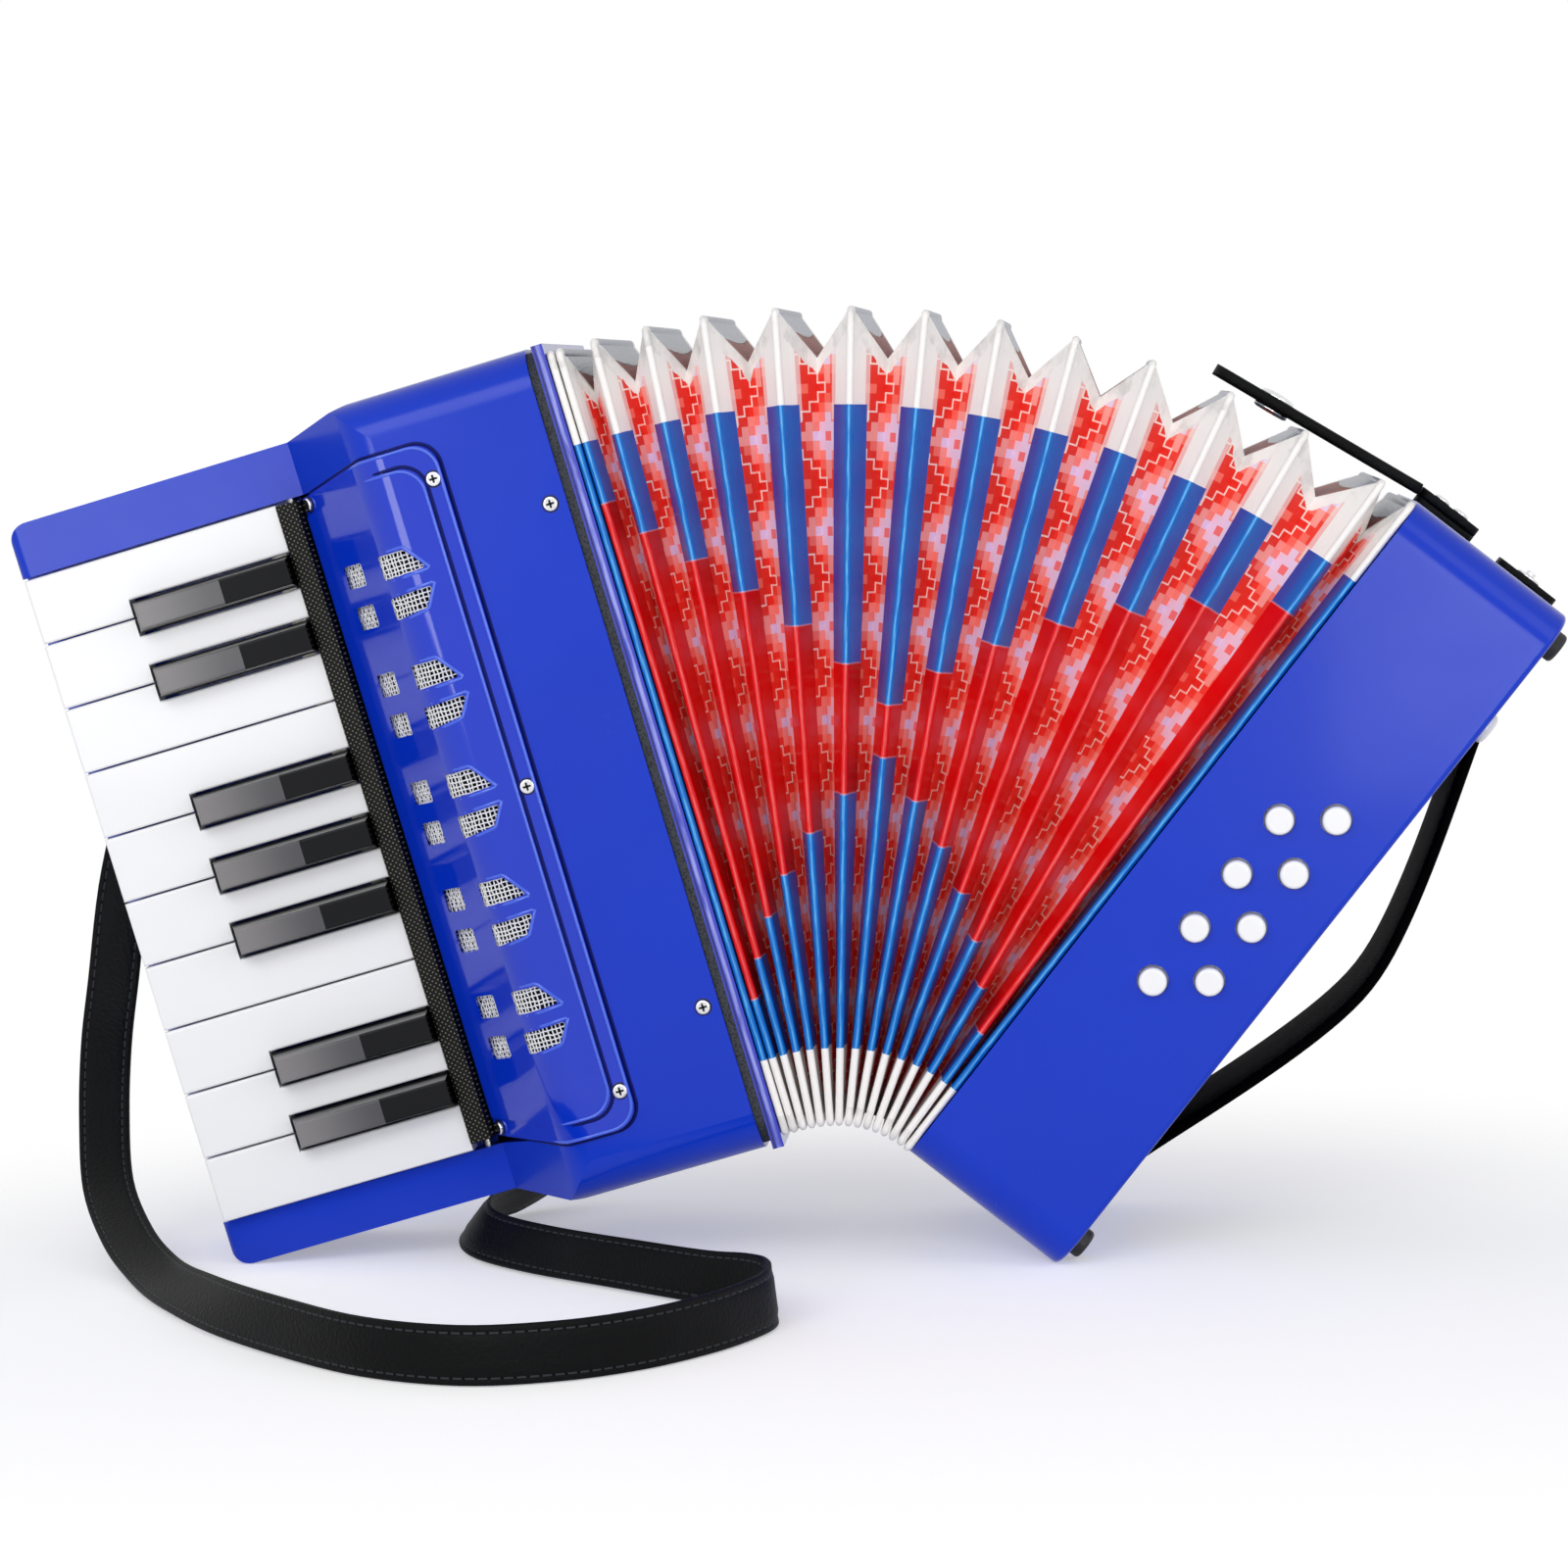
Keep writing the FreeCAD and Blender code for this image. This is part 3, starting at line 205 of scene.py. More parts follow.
def bar_mesh(rings):
    """A closed bar through rings of corners on the treble end."""
    soup = Soup()
    soup.add(TREBLE.point(np.array(rings, float)), tube_faces(len(rings), len(rings[0])))
    return soup


# Material helpers

def colour(r, g, b):
    def linear(v):
        v = v / 255
        return v / 12.92 if v <= 0.04045 else ((v + 0.055) / 1.055) ** 2.4
    return (linear(r), linear(g), linear(b), 1.0)


def darker(base, share):
    return tuple(c * share for c in base[:3]) + (1.0,)


def arithmetic(operation, turned=False):
    """A method that adds one math node; turned swaps its two sides."""
    def method(value, other=None):
        sides = (other, value) if turned else (value, other)
        return value.paint.math(operation, *sides)
    return method


class Value:
    """A socket that takes plain arithmetic and comparisons, which give 0 or 1."""

    def __init__(self, paint, socket):
        self.paint = paint
        self.socket = socket

    __add__ = arithmetic("ADD")
    __radd__ = arithmetic("ADD", turned=True)
    __sub__ = arithmetic("SUBTRACT")
    __rsub__ = arithmetic("SUBTRACT", turned=True)
    __mul__ = arithmetic("MULTIPLY")
    __truediv__ = arithmetic("DIVIDE")
    __pow__ = arithmetic("POWER")
    __mod__ = arithmetic("FLOORED_MODULO")
    __lt__ = arithmetic("LESS_THAN")
    __gt__ = arithmetic("GREATER_THAN")
    __abs__ = arithmetic("ABSOLUTE")
    __floor__ = arithmetic("FLOOR")


class Paint:
    """Short names for the nodes of one material, or of the world."""

    def __init__(self, name, world=None):
        self.owner = world or bpy.data.materials.new(name)
        self.owner.use_nodes = True
        self.tree = self.owner.node_tree
        self.tree.nodes.clear()
        self.out = self.node("OutputWorld" if world else "OutputMaterial")

    def put(self, socket, value):
        if isinstance(value, Value):
            self.tree.links.new(value.socket, socket)
        elif value is not None:
            socket.default_value = value

    def node(self, kind, inputs=None, **settings):
        node = self.tree.nodes.new("ShaderNode" + kind)
        for key, value in settings.items():
            setattr(node, key, value)
        for key, value in (inputs or {}).items():
            self.put(node.inputs[key], value)
        return node

    def get(self, output, kind, inputs=None, **settings):
        """One output of a new node."""
        return Value(self, self.node(kind, inputs, **settings).outputs[output])

    def show(self, shader):
        self.put(self.out.inputs["Surface"], shader)
        return self.owner

    def math(self, operation, a, b=None):
        return self.get(0, "Math", {0: a, 1: b}, operation=operation)

    def either(self, a, b):
        return self.math("MAXIMUM", a, b)

    def soft(self, value, low, high, start=0.0, end=1.0):
        """Goes smoothly from start at low to end at high."""
        return self.get("Result", "MapRange", {
            "Value": value, "From Min": low, "From Max": high, "To Min": start, "To Max": end},
            interpolation_type="SMOOTHSTEP")

    def line(self, value, inner, outer):
        """1 where value is near zero, and 0 from outer on."""
        return self.soft(abs(value), inner, outer, 1.0, 0.0)

    def mix(self, factor, a, b):
        return self.get(2, "Mix", {0: factor, 6: a, 7: b}, data_type="RGBA")

    def attribute(self, name):
        return self.get("Fac", "Attribute", attribute_name=name)

    def position(self):
        return self.get("Object", "TexCoord")

    def along(self, place, axis):
        """Distance in millimetres along one axis of a frame."""
        direction = getattr(place, axis)
        reach = self.get("Value", "VectorMath", {0: self.position(), 1: tuple(direction / MM)},
                         operation="DOT_PRODUCT")
        return reach - float(np.dot(place.origin, direction))

    def vector(self, x, y, z=0.0):
        return self.get(0, "CombineXYZ", {0: x, 1: y, 2: z})

    def noise(self, scale, detail=3.0, vector=None):
        return self.get(0, "TexNoise", {"Vector": vector or self.position(), "Scale": scale,
                                        "Detail": detail, "Roughness": 0.55})

    def cells(self, scale):
        return self.get("Distance", "TexVoronoi", {"Vector": self.position(), "Scale": scale})

    def bump(self, height, strength, distance, normal=None):
        return self.get("Normal", "Bump", {"Height": height, "Strength": strength,
                                           "Distance": distance, "Normal": normal})

    def surface(self, base, rough=0.4, metal=0.0, normal=None, coat=0.0, coat_rough=0.08,
                specular=0.5):
        return self.show(self.get("BSDF", "BsdfPrincipled", {
            "Base Color": base, "Roughness": rough, "Metallic": metal, "Normal": normal,
            "Coat Weight": coat, "Coat Roughness": coat_rough, "Specular IOR Level": specular}))


def plastic(name, base, rough=0.3, coat=0.6, coat_rough=0.05, peel=0.12, specks=0.06, deep=None,
            specular=0.5):
    """Moulded plastic: faint flow marks in the colour and a light ripple in the skin."""
    p = Paint(name)
    shade = p.mix(p.soft(p.noise(14.0, 2.0), 0.35, 0.7) * (specks * 4), base,
                  deep or darker(base, 0.8))
    height = p.noise(420.0, 2.0) * 0.8 + p.noise(2600.0, 1.0) * 0.2
    wear = p.soft(p.noise(60.0, 4.0), 0.3, 0.8, rough * 0.9, rough * 1.15)
    return p.surface(shade, wear, normal=p.bump(height, peel, 0.0002), coat=coat,
                     coat_rough=coat_rough, specular=specular)


def metal(name, base, rough):
    """Metal with fine streaks."""
    p = Paint(name)
    streak = p.noise(900.0)
    tone = p.mix(streak * 0.25, base, darker(base, 0.7))
    return p.surface(tone, p.soft(streak, 0.2, 0.8, rough * 0.8, rough * 1.3), 1.0,
                     p.bump(streak, 0.2, 0.00005))


# Finishes

case_blue = plastic("case_blue", colour(6, 54, 196), rough=0.24, coat=0.15, coat_rough=0.08,
                    specular=0.2)
cover_blue = plastic("cover_blue", colour(6, 50, 198), rough=0.1, coat=0.4, coat_rough=0.02,
                     peel=0.03, specular=0.3)
# Lighter blue for the raised beads: a painted highlight along the cover's edges
cover_edge_highlight = plastic("cover_edge_highlight", colour(52, 92, 226), rough=0.12, coat=0.6, coat_rough=0.02,
                     peel=0.03, specular=0.4)
# Dark blue for thin strips beside the cover's steps: painted shade
cover_groove_shade = plastic("cover_groove_shade", colour(4, 16, 96), rough=0.4, coat=0.0, specular=0.1)
# Near black for the screw recesses and the rings round the heads: painted shade
screw_shade = plastic("screw_shade", colour(26, 26, 30), rough=0.5, coat=0.0, specular=0.2)
key_white = plastic("key_white", colour(244, 244, 246), rough=0.22, coat=0.2, coat_rough=0.05,
                    peel=0.04, specks=0.01, deep=colour(236, 236, 238), specular=0.3)
button_white = plastic("button_white", colour(244, 244, 246), rough=0.25, coat=0.5, peel=0.05,
                       specks=0.01)
foot_rubber = plastic("foot_rubber", colour(22, 22, 24), rough=0.55, coat=0.05, peel=0.3)
chrome = metal("chrome", (0.78, 0.78, 0.8, 1), 0.12)
steel = metal("steel", (0.55, 0.55, 0.57, 1), 0.28)
spring_steel = metal("spring_steel", (0.45, 0.44, 0.42, 1), 0.32)


def wood_finish():
    p = Paint("wood")
    grain = p.noise(1.0, 5.0, p.vector(p.along(TREBLE, "ex") * 0.6, p.along(TREBLE, "ez") * 0.03))
    tone = p.mix(p.soft(grain, 0.35, 0.65), colour(196, 158, 108), colour(150, 108, 66))
    return p.surface(tone, 0.6, normal=p.bump(grain, 0.3, 0.0003))


def frame_finish():
    """Moulded frame: a bead runs along the middle of its dark blue face, made pale by a painted
    highlight, with painted shade in a groove beside it.
    """
    p = Paint("frame_blue")
    x = p.along(TREBLE, "ex")
    bead = p.line(x - 0.25, 0.25, 0.8)
    groove = p.line(x + 0.9, 0.1, 0.35)
    streak = p.noise(1.0, 3.0, p.vector(x * 0.5, p.along(TREBLE, "ez") * 0.06))
    # Pale streaked line along the bead: painted highlight; dark line in the groove: painted shade
    shade = p.mix(bead * p.soft(streak, 0.3, 0.6), colour(32, 46, 186), colour(150, 156, 232))
    shade = p.mix(groove, shade, colour(14, 22, 96))
    return p.surface(shade, 0.25, normal=p.bump(bead - groove, 0.6, 0.0004), coat=0.4)


def foam_finish():
    p = Paint("foam")
    pores = p.cells(1500.0)
    tone = p.mix(p.soft(pores, 0.1, 0.6), colour(22, 24, 28), colour(62, 66, 70))
    return p.surface(tone, 0.9, normal=p.bump(pores + p.noise(3000.0, 2.0), 0.9, 0.0004))


def fibre_finish(name, scale, detail, dark, pale, rough, relief, depth, specular):
    """Cloth or spun thread with fine fibres."""
    p = Paint(name)
    fuzz = p.noise(scale, detail)
    return p.surface(p.mix(fuzz, dark, pale), rough, normal=p.bump(fuzz, relief, depth),
                     specular=specular)


def key_black_finish():
    """Polished top in two flat facets that meet in a sharp line; the front facet is painted grey as a
    painted reflection.
    """
    p = Paint("key_black")
    x = p.along(TREBLE, "ex")
    on_top = p.along(TREBLE, "ey") < -33.2
    facet = on_top * (x < -103.6)
    # Grey front facet, paler towards its front end: a painted reflection of the lamps on the
    # near-black key
    front = p.mix(p.soft(x, -131.0, -103.0), colour(136, 133, 134), colour(84, 84, 87))
    shade = p.mix(facet, colour(7, 8, 12), front)
    lean = (facet * -0.12 + 0.05) * on_top
    tilt = p.get(0, "VectorMath", {0: tuple(TREBLE.ex), "Scale": lean}, operation="SCALE")
    leaning = p.get(0, "VectorMath", {0: p.get("Normal", "NewGeometry"), 1: tilt})
    turned = p.get(0, "VectorMath", {0: leaning}, operation="NORMALIZE")
    normal = p.bump(p.noise(500.0, 2.0), 0.04, 0.0002, turned)
    return p.surface(shade, 0.14, normal=normal, specular=0.2)


def strip_finish():
    """Perforated strip: staggered rows of small pale points on black."""
    p = Paint("strip_black")
    pitch = 1.55
    row_pitch = pitch / 2
    rows = p.along(TREBLE, "ez") / row_pitch
    shift = p.math("MODULO", abs(math.floor(rows)), 2.0) * row_pitch
    u = p.math("FRACT", (p.along(TREBLE, "ex") + shift) / pitch) - 0.5
    v = p.math("FRACT", rows) - 0.5
    reach = p.math("SQRT", (u * pitch) ** 2.0 + (v * row_pitch) ** 2.0)
    dot = p.soft(reach, 0.1, 0.26, 1.0, 0.0)
    shade = p.mix(dot * 0.7, colour(5, 6, 7), colour(176, 170, 148))
    return p.surface(shade, 0.5, normal=p.bump(dot, 0.6, 0.0003), specular=0.15)


def leather_finish(name, base, pale, shine=0.08):
    """Fine-grained leather with a row of stitches near each edge; u and w run along and across."""
    p = Paint(name)
    shade = p.mix(p.soft(p.noise(40.0), 0.45, 0.75) * 0.5, base, pale)
    phase = abs(p.math("FRACT", p.attribute("u") / 3.1) - 0.5)
    near = p.line(p.attribute("w"), 0.16, 0.34)
    stitch = (phase < 0.36) * near
    hole = (phase > 0.4) * near
    shade = p.mix(stitch * 0.85, shade, colour(58, 60, 64))
    # The stitch holes are painted near black: painted shade in the holes
    shade = p.mix(hole * 0.9, shade, colour(4, 4, 5))
    grain = p.cells(900.0) * 0.6 + p.noise(1500.0) * 0.5
    height = grain + (stitch * 2.2 + hole * -2.0)
    return p.surface(shade, 0.5, normal=p.bump(height, 0.6, 0.00035), specular=shine)


strap_black = leather_finish("strap_black", colour(9, 10, 11), colour(20, 21, 23))
hand_black = leather_finish("hand_black", colour(5, 5, 6), colour(12, 12, 14), shine=0.002)
band_black = leather_finish("band_black", colour(12, 13, 14), colour(26, 27, 30))

FOLD_KEYS = ("u", "v", "e", "w", "wall", "side", "top_len", "low_len")
TAPE_REACH = 10.0
WHITE_TOP = 26.0
WHITE_LOW = 21.5
PRINT_STEP = 2.55
PRINT_REPEAT = 10.0
TOP_BLUE = (400, 43, 53.4, 63.8, 74.2, 84.6, 95, 105.4, 95, 84.6, 74.2, 63.8, 53.4, 43, 400)
LOW_BLUE = (0, 38, 48.4, 58.8, 69.2, 79.6, 90, 100.4, 90, 79.6, 69.2, 58.8, 48.4, 38, 0)
WALLS = {"front": 0.0, "back": 0.0, "top": 1.0, "low": -1.0}


def bellows_finish():
    """Edge tape in white, blue and red lengths over printed paper with stepped diamonds."""
    p = Paint("fold_paper")
    u, v, e, w, wall, side, top_len, low_len = (p.attribute(key) for key in FOLD_KEYS)
    wobble = (p.noise(60.0, 2.0) - 0.5) * 0.9
    cut = wobble * 0.8
    from_top = u + cut
    from_low = BELLOWS_HEIGHT - u + cut

    # Tape colours: each side of a tape gets its own blue and its own red as painted shade, and the
    # blue turns azure near the crest as a painted sheen
    azure = colour(0, 108, 200)
    crest_sheen = p.soft(v, 1.0, 8.0, 1.0, 0.0)
    blue = p.mix(p.soft(side, -0.15, 0.15), p.mix(crest_sheen, colour(52, 74, 170), azure),
                 p.mix(crest_sheen, colour(16, 92, 188), azure))
    red = p.mix(p.soft(side, -0.2, 0.2), colour(228, 6, 14), colour(216, 4, 12))
    white = colour(250, 247, 244)
    # A bright broken line along the crease: painted highlight
    streaks = p.noise(1.0, 4.0, p.vector(u * 0.10, w * 2.6))
    crease_highlight = p.line(w + (streaks - 0.5) * 1.8, 0.06, 0.4) * p.soft(v, 0.3, 0.9, 1.0, 0.0)
    broken = p.soft(p.noise(1.0, 3.0, p.vector(u * 0.22, w * 6.0, 3.0)), 0.36, 0.56)
    crease_highlight = crease_highlight * (broken * 0.7 + 0.3)
    blue = p.mix(crease_highlight * 0.7, blue, colour(110, 200, 250))
    red = p.mix(crease_highlight * 0.5, red, colour(250, 130, 130))
    middle = p.mix(from_low < low_len, p.mix(from_top < top_len, red, blue), blue)
    ends = p.either(from_top < WHITE_TOP, from_low < WHITE_LOW)
    tape = p.mix(ends, middle, white)
    seam = p.either(p.line(from_top - top_len, 0.1, 0.35), p.line(from_low - low_len, 0.1, 0.35))
    tape = p.mix(seam * 0.35, tape, colour(250, 200, 205))

    # Printed paper: solid stepped diamonds on the right, outlined ones on the left of each gap
    red_ground = colour(236, 38, 22)

    def steps(distance, offset):
        """Steps along the fold, counted from the middle of each repeat."""
        return (math.floor(distance / PRINT_STEP) + offset) % PRINT_REPEAT - PRINT_REPEAT / 2

    i_pink = steps(u, 2.0)
    j_pink = math.floor((w - 4.2) / 3.8)
    d_pink = abs(i_pink) + abs(j_pink)
    shaded = (i_pink + j_pink * 2.0) % 5.0 < 1.5
    pink = p.mix(shaded, colour(255, 166, 156), colour(255, 146, 134))
    pink = p.mix((d_pink > 3.5) * shaded, pink, colour(252, 116, 100))
    paper = p.mix(w < -2.0, colour(244, 56, 40), red_ground)
    paper = p.mix(d_pink < 4.5, paper, pink)
    paper = p.mix(d_pink < 2.5, paper, colour(238, 220, 246))
    paper = p.mix(d_pink < 0.5, paper, colour(250, 120, 120))
    square = (abs(steps(u, 7.0)) < 0.5) * (w < -5.2)
    paper = p.mix(square, paper, colour(252, 120, 104))

    def inside(du, dw):
        return abs(steps(u + du, 7.0)) + abs(math.floor((w + dw) / 4.6)) < 3.5

    here = inside(0.0, 13.4)
    line = p.either(abs(here - inside(0.5, 13.4)),
                    p.either(abs(here - inside(0.0, 14.25)), abs(here - inside(0.5, 14.25))))
    paper = p.mix(here * (1.0 - square), paper, red_ground)
    paper = p.mix(line * 0.95, paper, colour(255, 240, 230))
    paper = p.mix(p.noise(900.0, 2.0) * 0.08, paper, colour(250, 190, 180))

    # Top walls: the blue tape painted grey and the ribbed red paper painted brown, both as painted
    # shade; low walls are white
    ribs = p.noise(1.0, 3.0, p.vector(p.along(TREBLE, "ey") * 0.9, v * 0.08))
    top_paper_shade = p.mix(p.soft(ribs, 0.4, 0.6), colour(96, 30, 26), colour(206, 104, 88))
    top_tape_shade = p.mix(p.noise(300.0), colour(92, 102, 128), colour(132, 140, 160))
    edge = v + (p.noise(120.0, 2.0) - 0.5) * 2.6
    top = p.mix(edge < 8.8, top_paper_shade, top_tape_shade)
    top = p.mix(p.line(edge - 9.0, 0.15, 0.5) * 0.85, top, colour(40, 12, 14))

    on_tape = v + wobble * 0.5 < TAPE_REACH - ends
    front = p.mix(on_tape, paper, tape)
    veil = (u < WHITE_TOP + 4.0) * (v < TAPE_REACH + 1.4)
    front = p.mix(veil * (1.0 - on_tape) * 0.55, front, white)
    shade = p.mix(wall < -0.5, p.mix(wall > 0.5, front, top), white)
    crumple = p.noise(150.0, 4.0)
    gusset = e + (crumple - 0.5) * 5.0 < 4.6
    # Grey in the crumpled corner gussets: painted shade in the wrinkles
    crumple_shade = p.mix(p.soft(crumple, 0.3, 0.55), colour(226, 224, 221), white)
    shade = p.mix(gusset, shade, crumple_shade)

    # Relief: the tape's edge, its creases and the crumpled corners
    fine = p.noise(1.0, 3.0, p.vector(u * 0.35, w * 1.4))
    height = on_tape * 0.35 + fine * 0.5 + crumple * gusset * 2.4
    gloss = p.either(on_tape, gusset) * -0.23 + 0.5
    return p.surface(shade, gloss, normal=p.bump(height, 0.5, 0.0005), specular=0.28)


bellows_paint = bellows_finish()
thread_white = fibre_finish("thread_white", 4000.0, 3.0, colour(236, 236, 240),
                            colour(255, 255, 255), 0.8, 0.4, 0.0001, 0.2)
# Near black sheet behind the net: painted shade for the shaded inside of the case
net_backing_shade = fibre_finish("net_backing_shade", 2200.0, 2.0, colour(10, 10, 14),
                             colour(30, 30, 36), 0.9, 0.5, 0.0002, 0.1)
wood = wood_finish()
strip_paint = strip_finish()

FINISH = {
    "treble_case": case_blue, "bass_case": case_blue, "grille_cover": cover_blue,
    "grille_mesh": net_backing_shade, "key_strip": strip_paint, "key_axle": steel,
    "key_springs": spring_steel, "treble_reed_board": wood, "bass_reed_board": wood,
    "treble_gasket": foam_finish(), "treble_frame": frame_finish(), "treble_screws": chrome,
    "strap_brackets": steel, "bass_feet": foot_rubber, "air_button": button_white,
    "bass_button": button_white, "white_key": key_white, "black_key": key_black_finish(),
}


def coat(obj, finish):
    obj.data.materials.clear()
    obj.data.materials.append(finish)


def use(obj, finish):
    coat(obj, finish)
    return obj


for name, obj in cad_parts.items():
    coat(obj, FINISH.get(name.rstrip("_0123456789"), strap_black))


# Bellows: a taped edge on each ridge

RING_HALF = 1.02
RING_DEPTH = 3.1
RING_WALL = 1.7
RING_ROUND = 1.15
SWAY = 0.10


def ring_path(radius=2.2):
    """Places (y, z, wall) once around a ridge."""
    h = BELLOWS_HALF_DEPTH
    top = BELLOWS_HEIGHT
    points = []

    def side(a, b, wall, steps):
        for k in range(steps):
            t = k / steps
            points.append((a[0] + (b[0] - a[0]) * t, a[1] + (b[1] - a[1]) * t, wall))

    def corner(cy, cz, start, wall):
        for k in range(5):
            a = math.radians(start + 90 * k / 5)
            points.append((cy + radius * math.cos(a), cz + radius * math.sin(a), wall))
    side((-h, top - radius), (-h, radius), "front", 46)
    corner(-h + radius, radius, 180, "low")
    side((-h + radius, 0), (h - radius, 0), "low", 16)
    corner(h - radius, radius, 270, "low")
    side((h, radius), (h, top - radius), "back", 46)
    corner(h - radius, top - radius, 0, "top")
    side((h - radius, top), (-h + radius, top), "top", 16)
    corner(-h + radius, top - radius, 90, "top")
    return points


def make_ridge(index):
    path = ring_path()
    count = len(path)
    yz = np.array([(y, z) for y, z, _ in path])
    y, z = yz.T
    tangent = unit(np.roll(yz, -1, axis=0) - np.roll(yz, 1, axis=0))
    inward = np.stack([-tangent[:, 1], tangent[:, 0]], axis=1)
    if inward[0, 0] < 0:
        inward = -inward
    profile = [(-RING_HALF, RING_DEPTH), (-RING_HALF, RING_WALL)]
    for k in range(9):
        a = math.pi * (k / 8 - 0.5)
        profile.append((RING_HALF * math.sin(a), RING_ROUND * (1 - math.cos(a))))
    profile += [(RING_HALF, RING_WALL), (RING_HALF, RING_DEPTH)]
    x, inset = np.array(profile).T
    sway = np.zeros(count)
    for wave in range(1, 6):
        sway += rng.normal() * np.sin(2 * math.pi * wave * 2 * np.arange(count) / count
                                      + rng.uniform(0, 6.28)) / (wave + 2)
    skin = yz[:, None] + inward[:, None] * inset[None, :, None]
    verts = np.dstack([x + SWAY * sway[:, None] * (1 - inset / RING_DEPTH), skin])
    on_end = [wall in ("top", "low") for _, _, wall in path]
    end = np.where(on_end, BELLOWS_HALF_DEPTH - abs(y), np.minimum(BELLOWS_HEIGHT - z, z))
    sides = len(profile)
    soup = Soup(FOLD_KEYS)
    soup.add(RIDGES[index].point(verts), grid_faces(count, sides, wrap_rows=True, wrap_columns=True),
             u=np.repeat(BELLOWS_HEIGHT - z, sides), e=np.repeat(end, sides),
             v=np.tile(np.where(abs(x) > 0.02, np.maximum(inset - 0.1, 0), 0), count),
             w=np.tile(x, count), side=np.tile(x, count),
             wall=np.repeat([WALLS[wall] for _, _, wall in path], sides),
             top_len=TOP_BLUE[index], low_len=LOW_BLUE[index])
    return soup


# Each wall of a gap: its two corners, the steps between them and the way its sag goes
WALL_RUNS = (("front", "tf", "lf", 56, (0, 1.0, 0)), ("back", "tb", "lb", 56, (0, -1.0, 0)),
             ("top", "tf", "tb", 26, (0, 0, -1.0)), ("low", "lf", "lb", 26, (0, 0, 1.0)))
ACROSS = np.array([0.0, 0.12, 0.26, 0.38, 0.46, 0.52, 0.64, 0.78, 0.92, 1.0])
CREST_DEPTH = 1.0
CREST_HALF = 0.55


def fold_corners(depth_top, depth_low):
    """Corner places (y, z) of a fold at its crest or its valley."""
    h = BELLOWS_HALF_DEPTH
    top = BELLOWS_HEIGHT - depth_top
    low = min(depth_low, LOW_VALLEY)
    places = {"tf": (-h + depth_top, top), "tb": (h - depth_top, top),
              "lf": (-h + depth_low, low), "lb": (h - depth_low, low)}
    return {key: np.array(place) for key, place in places.items()}


def make_gap(index):
    """The folded walls between ridge index and the next one."""
    first, second = RIDGES[index], RIDGES[index + 1]
    crest = fold_corners(CREST_DEPTH, CREST_DEPTH)
    valley = fold_corners(FOLD_DEPTH_TOP, FOLD_DEPTH_LOW)
    soup = Soup(FOLD_KEYS)
    t = ACROSS[:, None]

    def in_plane(yz, x=0.0):
        return np.insert(yz, 0, x, axis=1)

    for wall, a, b, steps, toward in WALL_RUNS:
        s = np.linspace(0, 1, steps + 1)
        high = crest[a] + (crest[b] - crest[a]) * s[:, None]
        deep = valley[a] + (valley[b] - valley[a]) * s[:, None]
        middle = (first.point(in_plane(deep)) + second.point(in_plane(deep))) / 2
        yz = high + (deep - high) * t[..., None]
        run = yz[..., 1 if wall in ("front", "back") else 0]
        edge = np.minimum(abs(run - run[:, :1]), abs(run - run[:, -1:]))
        for half, place, sign in ((0, first, 1.0), (1, second, -1.0)):
            top = place.point(in_plane(high, sign * CREST_HALF))
            full = np.linalg.norm(middle - top, axis=1)
            # A light sag between the creases, larger in the wide gaps
            bow = np.sin(np.pi * t) * np.minimum(full / 40, 0.4)
            wave = 0.85 + 0.15 * np.sin(s * 9 + index * 1.7 + half * 2.1)
            push = place.direction(np.array(toward)) * 0.3
            rows = top + (middle - top) * t[..., None] + (bow * wave)[..., None] * push
            faces = grid_faces(len(t), len(s))
            if (wall in ("back", "top")) == (half == 0):
                faces = [f[::-1] for f in faces]
            soup.add(rows, faces, u=(BELLOWS_HEIGHT - yz[..., 1]).ravel(),
                     v=(full * t + 0.9).ravel(), e=edge.ravel(),
                     w=(-sign * full * (1 - t)).ravel(), wall=WALLS[wall], side=sign,
                     top_len=TOP_BLUE[index + half], low_len=LOW_BLUE[index + half])
    return soup


def body_of_ridge(index):
    if index < 2:
        return "treble_end"
    if index == RIDGE_COUNT - 1:
        return "bass_end"
    return "fold_%02d" % (index + 1)


for index in range(RIDGE_COUNT):
    ridge = face_out(make_ridge(index).build("ridge_edge_%02d" % (index + 1)))
    use(ridge, bellows_paint)
    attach(ridge, body_of_ridge(index))
    if index == 0:
        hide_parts("bellows_ridge_01_02")
    elif index > 1:
        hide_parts("bellows_ridge_%02d" % (index + 1))

for index in range(RIDGE_COUNT - 1):
    panel = use(make_gap(index).build("fold_wall_%02d" % (index + 1)), bellows_paint)
    before, after = body_of_ridge(index), body_of_ridge(index + 1)
    if before == after:
        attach(panel, before)
        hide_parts("bellows_skin")
    else:
        high = np.array([0, 0, BELLOWS_HEIGHT - 25])
        tuple(RIDGES[index].point(high) * MM)
        tuple(RIDGES[index + 1].point(high) * MM)
        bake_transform(panel)


# Straps: a band along stations, each given by its two edges and a face normal

